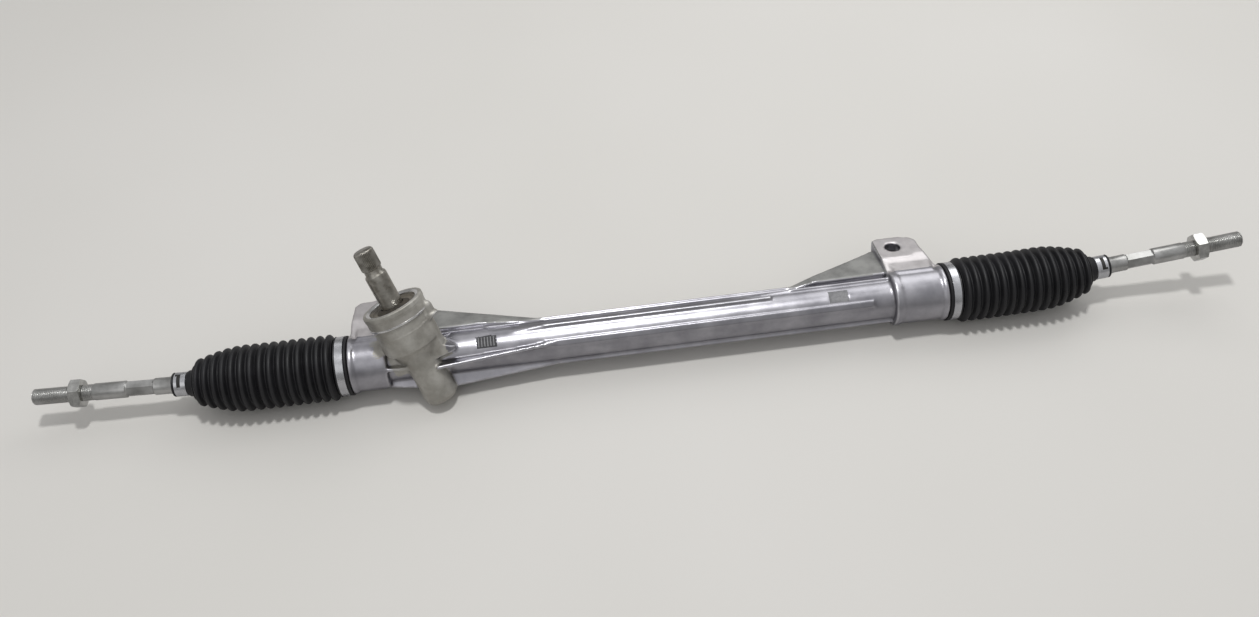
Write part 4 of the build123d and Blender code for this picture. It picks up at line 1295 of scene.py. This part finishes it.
@dataclass
class CastHousing:
    """The die-cast housing: the solid's form with its fillets, softened as a casting is."""

    book: FinishBook
    # The solid and its additions become one skin of voxels, which is smoothed and then thinned to a share.
    voxel_mm: float = 0.95
    smoothings: int = 7
    keep_share: float = 0.4
    ears: tuple[Ear, Ear] = (Ear(-1, 255.0, 256.0, 84.0), Ear(1, 249.0, 255.0, 118.0))
    # The seat of each boot's cuff is filled by a ring.
    seat_start: float = 254.0
    seat_end: float = 257.8
    seat_hole: float = 15.5
    seat_r: float = 24.6
    # Webs and ribs rise out of the tube by these.
    lead_ins: tuple[LeadIn, ...] = (
        LeadIn((86.0, -134.0, 16.8), (84.0, -88.0, 20.3), 3.0),
        LeadIn((146.0, -122.0, 17.4), (139.0, -86.0, 18.8), 5.0),
        LeadIn((62.0, 60.0, 16.8), (62.0, 126.0, 20.0), 3.0),
        LeadIn((212.0, -92.0, 20.7), (212.0, -66.0, 20.7), 3.0),
        LeadIn((310.0, -92.0, 20.7), (310.0, -66.0, 20.7), 3.0),
        LeadIn((40.0, -150.0, 16.8), (40.0, -104.0, 20.7), 3.0),
        LeadIn((138.0, 186.0, 18.7), (138.0, 198.0, 17.3), 4.0),
    )
    lug: Lug = Lug()
    # The tower below its cap, with radii and heights on the pinion's axis.
    tower_r: float = 24.5
    neck_start: float = 37.2
    neck_end: float = 46.5
    neck_reach: float = 27.4
    neck_toward: float = 0.95
    block_start: float = 4.0
    block_reach: float = 34.0
    block_toward: float = 0.8
    # The block widens below the first height, and over the last millimetres at its top, by these slopes.
    foot_flare: tuple[float, float] = (11.5, 1.2)
    top_flare: tuple[float, float] = (3.0, 1.5)
    # The tower's skin: where it lies along the rack, then radii with the heights between which they count.
    tower_x: float = -200.0
    tower_half: float = 46.0
    tower_skins: tuple[tuple[float, float, float], ...] = ((25.8, -2.0, 999.0), (15.8, -999.0, 999.0),
                                                           (33.0, 22.0, 56.0))
    # The skins of webs and ears: where they start, and how level and how high their faces are.
    web_start_x: float = 84.0
    web_back: float = 9.5
    web_level: float = 0.8
    ear_start_x: float = 210.4
    ear_back: float = 7.0
    ear_height: float = 19.5
    ear_level: float = 0.5
    barred_pad: Pad = Pad(-141.5, 109.0)
    plain_pad: Pad = Pad(163.0, 104.0)

    def build(self) -> None:
        """Builds the housing on its body."""
        parts = [cad_copy("gear_housing")]
        for ear in self.ears:
            ring = lathe([(self.seat_start, self.seat_hole), (self.seat_start, self.seat_r),
                          (self.seat_end, self.seat_r), (self.seat_end, self.seat_hole)], 96)
            ring.transform(rack_line(ear.sign).matrix())
            parts += [*ear.meshes(), ring]
        parts += [lead_in.mesh() for lead_in in self.lead_ins]
        parts.append(self.lug.mesh())
        mesh = modified(merged(parts), ("REMESH", {"mode": "VOXEL", "voxel_size": self.voxel_mm * MM}),
                        ("SMOOTH", {"iterations": self.smoothings, "factor": 0.5}))
        self.carve(mesh)
        mesh = modified(mesh, ("SMOOTH", {"iterations": 1}), ("DECIMATE", {"ratio": self.keep_share}))
        mesh.polygons.foreach_set("use_smooth", [True] * len(mesh.polygons))
        mesh.materials.clear()
        self.mark_edges(mesh)
        self.paint(mesh)
        add_piece("gear_housing_cast", mesh, body="housing", node="gear_housing")

    def around_pinion(self, points: np.ndarray) -> tuple[np.ndarray, np.ndarray, np.ndarray]:
        """Measures points against the pinion's axis.

        Args:
            points: The points in millimetres.

        Returns:
            Their heights, their distances from the axis and their vectors from it.
        """
        foot = pinion_line()
        along = np.array(foot.along)
        offset = points - np.array(foot.origin) / MM
        height = offset @ along
        away = offset - height[:, None] * along
        return height, np.linalg.norm(away, axis=1), away

    def carve(self, mesh: bpy.types.Mesh) -> None:
        """Draws the tower in below its cap and thins the block under the lug.

        Args:
            mesh: The dense mesh.
        """
        points = triples(mesh.vertices, "co") / MM
        height, reach, away = self.around_pinion(points)
        # The cosine of the angle between each point and the lug, seen along the pinion.
        toward = away @ np.array(self.lug.way()) / np.maximum(reach, 1e-6)
        block = ((toward > self.block_toward) & between(height, self.block_start, self.lug.bottom)
                 & between(reach, self.tower_r, self.block_reach))
        flare_top, slope = self.foot_flare
        limit = self.tower_r + np.clip(flare_top - height, 0, None) * slope
        rise, slope = self.top_flare
        limit = limit + np.clip(height - self.lug.bottom + rise, 0, rise) * slope
        neck = ((toward < self.neck_toward) & between(height, self.neck_start, self.neck_end)
                & between(reach, self.tower_r, self.neck_reach))
        goal = np.where(block, np.minimum(reach, limit), np.where(neck, self.tower_r, reach))
        points += away * ((goal / np.maximum(reach, 1e-6)) - 1)[:, None]
        mesh.vertices.foreach_set("co", (points * MM).ravel())
        mesh.update()

    def mark_edges(self, mesh: bpy.types.Mesh, spread: int = 3, gain: float = 1.6,
                   most: float = 0.5) -> None:
        """Stores how far each vertex stands out of its neighbours, for the finish's painted edge highlights and
        painted corner shade.

        Args:
            mesh: The housing's mesh.
            spread: How many times the measure is averaged with the neighbours.
            gain: What the measure is multiplied by.
            most: The largest value stored, either way.
        """
        count = len(mesh.vertices)
        place, normal = triples(mesh.vertices, "co"), triples(mesh.vertices, "normal")
        ends = np.empty(len(mesh.edges) * 2, dtype=np.int32)
        mesh.edges.foreach_get("vertices", ends)
        one, two = ends.reshape(-1, 2).T
        step = place[two] - place[one]
        length = np.maximum(np.linalg.norm(step, axis=1), 1e-9)
        links = np.bincount(one, minlength=count) + np.bincount(two, minlength=count)
        rise = (np.bincount(one, -(step * normal[one]).sum(axis=1) / length, count)
                + np.bincount(two, (step * normal[two]).sum(axis=1) / length, count)) / links
        for _ in range(spread):
            around = (np.bincount(one, rise[two], count) + np.bincount(two, rise[one], count)) / links
            rise = (rise + around) / 2
        mark = mesh.attributes.new("edge_curve", "FLOAT", "POINT")
        mark.data.foreach_set("value", np.clip(rise * gain, -most, most).astype(np.float32))

    def paint(self, mesh: bpy.types.Mesh) -> None:
        """Gives each face the skin of the tube, the tower, a web, a machined face or a pad.

        Args:
            mesh: The housing's mesh.
        """
        mesh.materials.append(self.book.of("housing_cast"))
        for finish in (CAST_RAW, CAST_MACHINED, CAST_WEB_SHADED, PAD_FACE, PAD_DARK):
            mesh.materials.append(self.book.finish(finish))
        centre, normal = triples(mesh.polygons, "center") / MM, triples(mesh.polygons, "normal")
        skin = np.full(len(centre), Skin.TUBE, dtype=np.int32)
        height, away, _ = self.around_pinion(centre)
        beside = np.abs(centre[:, 0] - self.tower_x) < self.tower_half
        for radius, low, high in self.tower_skins:
            skin[beside & (away < radius) & between(height, low, high)] = Skin.TOWER
        tilt = math.radians(self.ears[0].tilt_deg)
        off_y, off_z = (centre - np.array(rack_line().origin) / MM)[:, 1:].T
        up = off_y * math.sin(tilt) + off_z * math.cos(tilt)
        back = off_y * math.cos(tilt) - off_z * math.sin(tilt)
        level = normal[:, 1] * math.sin(tilt) + normal[:, 2] * math.cos(tilt)
        reach = np.abs(centre[:, 0])
        web = between(reach, self.web_start_x, self.ear_start_x) & (back > self.web_back)
        # Webs get the skin whose grey is painted darker as painted shade.
        skin[web & (level > self.web_level) & (skin == Skin.TUBE)] = Skin.WEB
        ear = (reach > self.ear_start_x) & (back > self.ear_back)
        skin[ear & (up > self.ear_height) & (level > self.ear_level)] = Skin.MACHINED
        turn = np.degrees(np.arctan2(off_z, off_y))
        for pad, kind in ((self.barred_pad, Skin.BARRED_PAD), (self.plain_pad, Skin.PLAIN_PAD)):
            skin[(np.abs(centre[:, 0] - pad.x) < pad.half_length) & (np.abs(turn - pad.angle) < pad.half_turn)
                 & (np.hypot(off_z, off_y) > pad.radius)] = kind
        mesh.polygons.foreach_set("material_index", skin)


@dataclass
class PadBars:
    """The row of raised bars across the barred pad, a generic mark."""

    book: FinishBook
    count: int = 6
    start_x: float = -147.9
    step: float = 2.56
    half_width: float = 0.45
    angles: tuple[float, float] = (95.0, 123.0)
    radii: tuple[float, float] = (16.6, 17.75)

    def build(self) -> None:
        """Builds the bars as one piece on the housing."""
        bars = []
        for number in range(self.count):
            x = self.start_x + number * self.step
            bars.append(hull_of([tube_point(x + wide, angle, radius)
                                 for angle in self.angles for radius in self.radii
                                 for wide in (-self.half_width, self.half_width)]))
        add_piece("pad_bars", merged(bars), self.book.finish(PAD_FACE), "housing")


@dataclass
class TowerCap:
    """The turned rim of the tower's cap, its edges and the dust seal, on the pinion's axis."""

    book: FinishBook
    top: float = 59.4
    foot: float = 46.5
    inner: float = 21.1
    outer: float = 26.3

    def rim(self) -> list[tuple[float, float]]:
        """Draws the rim.

        Returns:
            Its section.
        """
        top, inner, outer = self.top, self.inner, self.outer
        return [(52.9, inner), (52.9, outer - 0.3), (top - 4.6, outer - 0.1), (top - 4.2, outer + 0.2),
                (top - 0.9, outer + 0.2), (top - 0.2, outer - 0.5), (top, outer - 1.0), (top, inner + 2.6),
                (top - 0.6, inner + 2.3), (top - 0.7, inner)]

    def inner_edge(self) -> list[tuple[float, float]]:
        """Draws the bright edge inside the rim.

        Returns:
            Its section.
        """
        top, inner = self.top, self.inner
        return [(top - 3.0, inner - 0.6), (top - 3.0, inner + 2.5), (top - 0.1, inner + 2.5),
                (top + 0.1, inner + 2.1), (top - 0.5, inner + 0.4), (top - 1.0, inner - 0.5)]

    def lower_edge(self) -> list[tuple[float, float]]:
        """Draws the bright edge below the cap.

        Returns:
            Its section.
        """
        foot, outer = self.foot, self.outer
        return [(foot - 1.0, 23.8), (foot - 1.0, outer - 1.4), (foot - 0.3, outer - 0.2),
                (foot + 0.4, outer + 0.15), (foot + 1.2, outer + 0.1), (foot + 1.6, outer - 0.5),
                (foot + 1.7, 23.8)]

    def seal(self) -> list[tuple[float, float]]:
        """Returns the section of the dust seal's disc."""
        return [(54.6, 13.4), (54.6, 20.9), (56.6, 20.9), (56.9, 20.2), (56.7, 18.6), (55.9, 17.8),
                (55.8, 15.0), (56.2, 13.4)]

    def packed_ring(self) -> list[tuple[float, float]]:
        """Returns the section of the ring of dirt round the shaft."""
        return [(54.6, 9.9), (54.6, 13.3), (56.0, 14.6), (56.8, 13.2), (57.2, 11.9), (58.0, 10.8),
                (58.1, 9.9)]

    def build(self) -> None:
        """Builds every ring as a piece on the housing."""
        for name, section, steps, smooth_below, finish in (
            ("cap_rim", self.rim(), 112, 25.0, CAST_RAW),
            ("cap_inner_edge", self.inner_edge(), 112, 25.0, TURNED_BRIGHT),
            ("cap_lower_edge", self.lower_edge(), 112, 25.0, TURNED_BRIGHT),
            ("dust_seal_top", self.seal(), 96, 30.0, DUST_SEAL),
            ("dust_seal_inner", self.packed_ring(), 96, 50.0, PACKED_DIRT),
        ):
            mesh = lathe(section, steps, smooth_below)
            mesh.transform(pinion_line().matrix())
            add_piece(name, mesh, self.book.finish(finish), "housing")


def inverse_smoothstep(value: float) -> float:
    """Returns where the smoothstep curve reaches a value between 0 and 1."""
    return 0.5 - math.sin(math.asin(1 - 2 * value) / 3)


def at_share(start: Vector, end: Vector, share: float) -> tuple[float, float, float]:
    """Returns the point at a share of the way from one point to another, which may lie beyond them."""
    return tuple(start + (end - start) * share)


@dataclass
class Boot:
    """One bellows boot with its cuff on the housing and its neck on the tie rod."""

    side: str
    book: FinishBook
    mouth_x: float = 270.0
    cuff_start: float = 258.1
    cuff_hole: float = 21.65
    cuff_r: float = 24.8
    bead_r: float = 25.6
    folds: int = 15
    fold_depth: float = 4.0
    crest_r: float = 28.3
    outer_crest_r: float = 19.0
    taper: float = 44.0
    wall: float = 1.0
    rows: int = 81
    around: int = 73
    neck_start: float = 43.0
    neck_hole: float = 7.55
    # The last folds are cut into a length from the rack to the ball seat and one from the ball seat to the rod.
    turn_shares: tuple[float, float] = (11 / 15, 12.5 / 15)
    slide_pieces: int = 4

    def build(self) -> None:
        """Builds every piece of the boot, and joins its cuff and neck to what moves them."""
        rack = rack_line(-1.0 if self.side == "left" else 1.0)
        rod = rod_line(self.side)
        mouth = rack.origin + rack.along * self.mouth_x * MM
        end = rod.origin + rod.along * self.neck_start * MM
        self.bellows(BellowsPath(mouth, rack.along, end, rod.along))
        self.ring("cuff", self.cuff(), 96, rack, "housing")
        self.ring("neck", self.neck(), 72, rod, f"tie_rod_{self.side}")

    def bellows(self, path: BellowsPath) -> None:
        """Builds the folds in lengths.

        Args:
            path: The middle line.
        """
        node = f"boot_{self.side}"
        form = bellows_form(self.book.of("boot_rubber"), path, self.rows, self.around, {
            "From": 0.0, "To": 1.0, "Folds": self.folds, "Length": (path.end - path.start).length / MM,
            "Crest": self.crest_r, "Outer Crest": self.outer_crest_r, "Taper": self.taper,
            "Depth": self.fold_depth, "Wall": self.wall})
        count = self.slide_pieces
        cuts = [round(self.turn_shares[0] * number / count * self.folds) / self.folds
                for number in range(count + 1)]
        for number in range(count):
            low, high = cuts[number : number + 2]
            piece = add_piece(f"bellows_{self.side}_{number + 1}", form.evaluate({"From": low, "To": high}))
            # Where this length's own share of a smoothstep slide begins and ends.
            first, last = inverse_smoothstep(number / count), inverse_smoothstep((number + 1) / count)
            span = (high - low) / (last - first)
            start = low - first * span
            at_share(path.start, path.end, start)
            at_share(path.start, path.end, start + span)
            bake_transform(piece)
            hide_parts(node)
        seat, rod = f"ball_seat_{self.side}", f"tie_rod_{self.side}"
        for name, low, high, one, two in (("yaw", *self.turn_shares, "rack", seat),
                                          ("pitch", self.turn_shares[1], 1.0, seat, rod)):
            piece = add_piece(f"bellows_{self.side}_{name}", form.evaluate({"From": low, "To": high}))
            at_share(path.start, path.end, low)
            at_share(path.start, path.end, high)
            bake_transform(piece)
            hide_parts(node)

    def ring(self, name: str, section: list[tuple[float, float]], steps: int, line: Line, body: str) -> None:
        """Builds a turned end of the boot.

        Args:
            name: Which end it is.
            section: Heights and radii in millimetres.
            steps: The number of faces around.
            line: Its axis.
            body: The body that it rides.
        """
        mesh = lathe(section, steps)
        mesh.transform(line.matrix())
        add_piece(f"boot_{name}_{self.side}", mesh, self.book.of("boot_rubber"), body, f"boot_{self.side}")

    def cuff(self) -> list[tuple[float, float]]:
        """Draws the cuff, with its bead and its groove for the clamp.

        Returns:
            Its section.
        """
        start, mouth = self.cuff_start, self.mouth_x
        bead, wall, hole = self.bead_r, self.cuff_r, self.cuff_hole
        return [(start, hole), (start, bead - 0.6), (start + 0.5, bead), (start + 1.9, bead),
                (start + 2.4, bead - 0.5), (start + 2.6, wall), (mouth - 2.4, wall),
                (mouth - 2.3, wall + 0.8), (mouth - 1.4, wall + 1.0), (mouth - 0.1, 23.4),
                (mouth - 0.1, hole + 0.2)]

    def neck(self) -> list[tuple[float, float]]:
        """Draws the neck, with the lip outside the small clamp.

        Returns:
            Its section.
        """
        return [(42.0, 9.2), (42.0, 14.6), (42.9, 15.6), (43.8, 14.8), (44.6, 11.9), (45.6, 11.3),
                (48.4, 11.1), (49.4, 10.3), (49.8, 9.3), (60.4, 9.3), (60.6, 10.0), (61.2, 10.25),
                (61.9, 9.9), (62.2, 9.2), (62.2, self.neck_hole), (46.0, self.neck_hole)]


@dataclass
class TieRod:
    """One tie rod with its ball, its flats and its rolled thread."""

    side: str
    book: FinishBook
    ball_r: float = 12.0
    throat_r: float = 6.5
    throat_end: float = 45.0
    seat_r: float = 7.5
    seat_end: float = 64.5
    rod_r: float = 7.2
    hex_start: float = 78.5
    hex_end: float = 100.5
    hex_flats: float = 11.8
    thread_start: float = 128.5
    thread_r: float = 6.85
    thread_depth: float = 0.85
    thread_pitch: float = 1.5
    core_r: float = 6.0
    thread_rows: int = 267
    thread_around: int = 41
    tip: float = 177.92
    nut_start: float = 137.0
    nut_end: float = 146.4
    arc_steps: int = 22
    sharp_deg: float = 40.0

    def ball_end(self) -> list[tuple[float, float]]:
        """Draws the rod from its ball to its flats.

        Returns:
            The section.
        """
        arc = np.linspace(0, math.pi - math.asin(self.throat_r / self.ball_r), self.arc_steps)
        ball = [(-self.ball_r * math.cos(turn), self.ball_r * math.sin(turn)) for turn in arc]
        flat = self.hex_flats / 2 - 0.2
        return ball + [(self.throat_end, self.throat_r), (self.throat_end + 0.6, self.seat_r),
                       (self.seat_end, self.seat_r), (self.seat_end + 0.5, self.rod_r),
                       (self.hex_start - 1.0, self.rod_r), (self.hex_start + 0.6, flat),
                       (self.hex_start + 0.6, 0.0)]

    def shank(self) -> list[tuple[float, float]]:
        """Draws the rod from its flats to its thread.

        Returns:
            The section.
        """
        end, thread = self.hex_end, self.thread_start
        return [(end - 0.6, 0.0), (end - 0.6, self.hex_flats / 2 - 0.2), (end + 1.0, self.rod_r),
                (thread - 1.2, self.rod_r), (thread + 0.6, 6.3), (thread + 0.6, 0.0)]

    def build(self) -> None:
        """Builds the rod as one piece on its body."""
        steel = self.book.of("rod_steel")
        parts = [lathe(self.ball_end()), prism(6, self.hex_flats, self.hex_start, self.hex_end, 0.35),
                 lathe(self.shank())]
        # The thread turns by one ridge for its pitch, and it is left out where the lock nut covers it.
        thread = ridged_form("screw_thread", steel, self.thread_rows, self.thread_around, {
            "Start": 0.0, "End": 20.0, "Radius": self.thread_r, "Depth": self.thread_depth, "Chamfer": 1.1,
            "Screw": 1 / self.thread_pitch, "Ridges": -1.0, "Slope": 1.25, "Flat": 0.1})
        for start, end, chamfer in ((self.thread_start + 0.3, self.nut_start + 0.5, 0.25),
                                    (self.nut_end - 0.4, self.tip, 1.1)):
            parts.append(thread.evaluate({"Start": start, "End": end, "Chamfer": chamfer}))
        low, high = self.nut_start - 0.8, self.nut_end + 0.8
        parts.append(lathe([(low, 0.0), (low, self.core_r), (high, self.core_r), (high, 0.0)], 32))
        mesh = merged(parts)
        mesh.transform(rod_line(self.side).matrix())
        shade(mesh, self.sharp_deg)
        node = f"tie_rod_{self.side}"
        add_piece(f"tie_rod_turned_{self.side}", mesh, steel, node, node)


@dataclass
class PinionShaft:
    """The pinion with its stem, its pinch-bolt neck and its serrated end, in millimetres over its foot."""

    book: FinishBook
    cut: float = 60.0
    stem_r: float = 9.2
    neck_r: float = 7.6
    neck: float = 91.0
    top: float = 110.0
    spline_r: float = 8.6
    spline_depth: float = 0.75
    spline_rows: int = 24
    teeth: int = 36
    points_per_tooth: int = 6
    sharp_deg: float = 38.0

    def lower_part(self) -> bpy.types.Mesh:
        """Takes the CAD solid's pinion below the cut.

        Returns:
            The mesh, closed by a flat face.
        """
        foot = pinion_line()
        work = bmesh.new()
        work.from_mesh(cad_copy("pinion_shaft"))
        result = bmesh.ops.bisect_plane(work, geom=work.verts[:] + work.edges[:] + work.faces[:],
                                        plane_co=foot.origin + foot.along * self.cut * MM,
                                        plane_no=foot.along, clear_outer=True)
        rim = [edge for edge in result["geom_cut"] if isinstance(edge, bmesh.types.BMEdge)]
        bmesh.ops.contextual_create(work, geom=rim)
        return mesh_of(work, "lower_part")

    def stem(self) -> list[tuple[float, float]]:
        """Draws the stem and its neck for the pinch bolt.

        Returns:
            The section.
        """
        neck = self.neck
        return [(self.cut - 0.2, 0.0), (self.cut - 0.2, self.stem_r - 0.01), (neck - 4.4, self.stem_r),
                (neck - 3.2, self.stem_r - 0.3), (neck - 1.6, self.neck_r), (neck + 1.4, self.neck_r),
                (neck + 2.6, 7.2), (neck + 2.6, 0.0)]

    def build(self) -> None:
        """Builds the shaft as one piece on the pinion's body."""
        steel = self.book.of("pinion_steel")
        stem = lathe(self.stem())
        around = self.teeth * self.points_per_tooth + 1
        spline = ridged_form("serrations", steel, self.spline_rows, around, {
            "Start": self.neck + 1.6, "End": self.top, "Radius": self.spline_r, "Depth": self.spline_depth,
            "Chamfer": 1.3, "Screw": 0.0, "Ridges": self.teeth, "Slope": 1.5, "Flat": 0.25}).evaluate({})
        for part in (stem, spline):
            part.transform(pinion_line().matrix())
        mesh = merged([self.lower_part(), stem, spline])
        shade(mesh, self.sharp_deg)
        add_piece("pinion_shaft_serrated", mesh, steel, "pinion", "pinion_shaft")


@dataclass
class SmallClamp:
    """The band on a boot's neck, with a dark slot where its ends lock."""

    side: str
    book: FinishBook
    start: float = 50.1
    width: float = 10.0
    hole_r: float = 9.35
    outer_r: float = 10.2
    edge: float = 0.25
    # The slot has a part across the band and one along it, as steps along it and half turns in degrees.
    slot_start: float = 4.2
    slot_width: float = 3.0
    slot_end: float = 8.8
    slot_half: float = 34.0
    slot_bend: float = 24.0
    slot_way: tuple[float, float, float] = (0.0, -0.35, 1.0)

    def build(self) -> None:
        """Builds the band and its slot on the tie rod's body."""
        line = rod_line(self.side)
        body = f"tie_rod_{self.side}"
        start, end, edge = self.start, self.start + self.width, self.edge
        band = lathe([(start, self.hole_r), (start, self.outer_r - edge), (start + edge, self.outer_r),
                      (end - edge, self.outer_r), (end, self.outer_r - edge), (end, self.hole_r)], 96)
        band.transform(line.matrix())
        add_piece(f"small_clamp_notched_{self.side}", band, self.book.of("clamp_steel"), body,
                  f"small_clamp_{self.side}")
        way = line.matrix().to_3x3().inverted() @ Vector(self.slot_way)
        middle = math.degrees(math.atan2(way.y, way.x))
        inner, outer = self.outer_r - 0.4, self.outer_r + 0.12
        near = start + self.slot_start
        bend = near + self.slot_width
        slot = merged([arc_block(inner, outer, near, bend, middle - self.slot_half, middle + self.slot_half),
                       arc_block(inner, outer, bend - 0.1, start + self.slot_end, middle + self.slot_bend,
                                 middle + self.slot_half)])
        slot.transform(line.matrix())
        add_piece(f"small_clamp_slot_{self.side}", slot, self.book.of("seal_rubber"), body)


@dataclass
class CadNodes:
    """The CAD nodes that show as they are, each with the finish of its slot."""

    book: FinishBook

    def build(self) -> None:
        """Puts the finish of its slot on every CAD node."""
        for part in frame["record"]["subparts"]:
            node = frame["nodes"][part["node"]]
            material = self.book.of(part["material_slot"])
            if not node.data.materials:
                node.data.materials.append(material)
            for number in range(len(node.data.materials)):
                node.data.materials[number] = material


class SteeringGear:
    """The whole object, built sub-assembly by sub-assembly."""

    def __init__(self) -> None:
        """Starts with an empty book of finishes."""
        self.book = FinishBook()

    def build(self) -> None:
        """Builds all pieces and reports each."""
        for kind in (CadNodes, CastHousing, PadBars, TowerCap, PinionShaft):
            kind(self.book).build()
        for side in ("left", "right"):
            for kind in (Boot, TieRod, SmallClamp):
                kind(side, self.book).build()
            LOG.info("%s end is built", side)


def main() -> None:
    """Builds the object, its studio and its camera."""
    logging.basicConfig(level=logging.INFO)
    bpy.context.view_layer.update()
    SteeringGear().build()
    Studio().build()


if __name__ == "__main__":
    main()
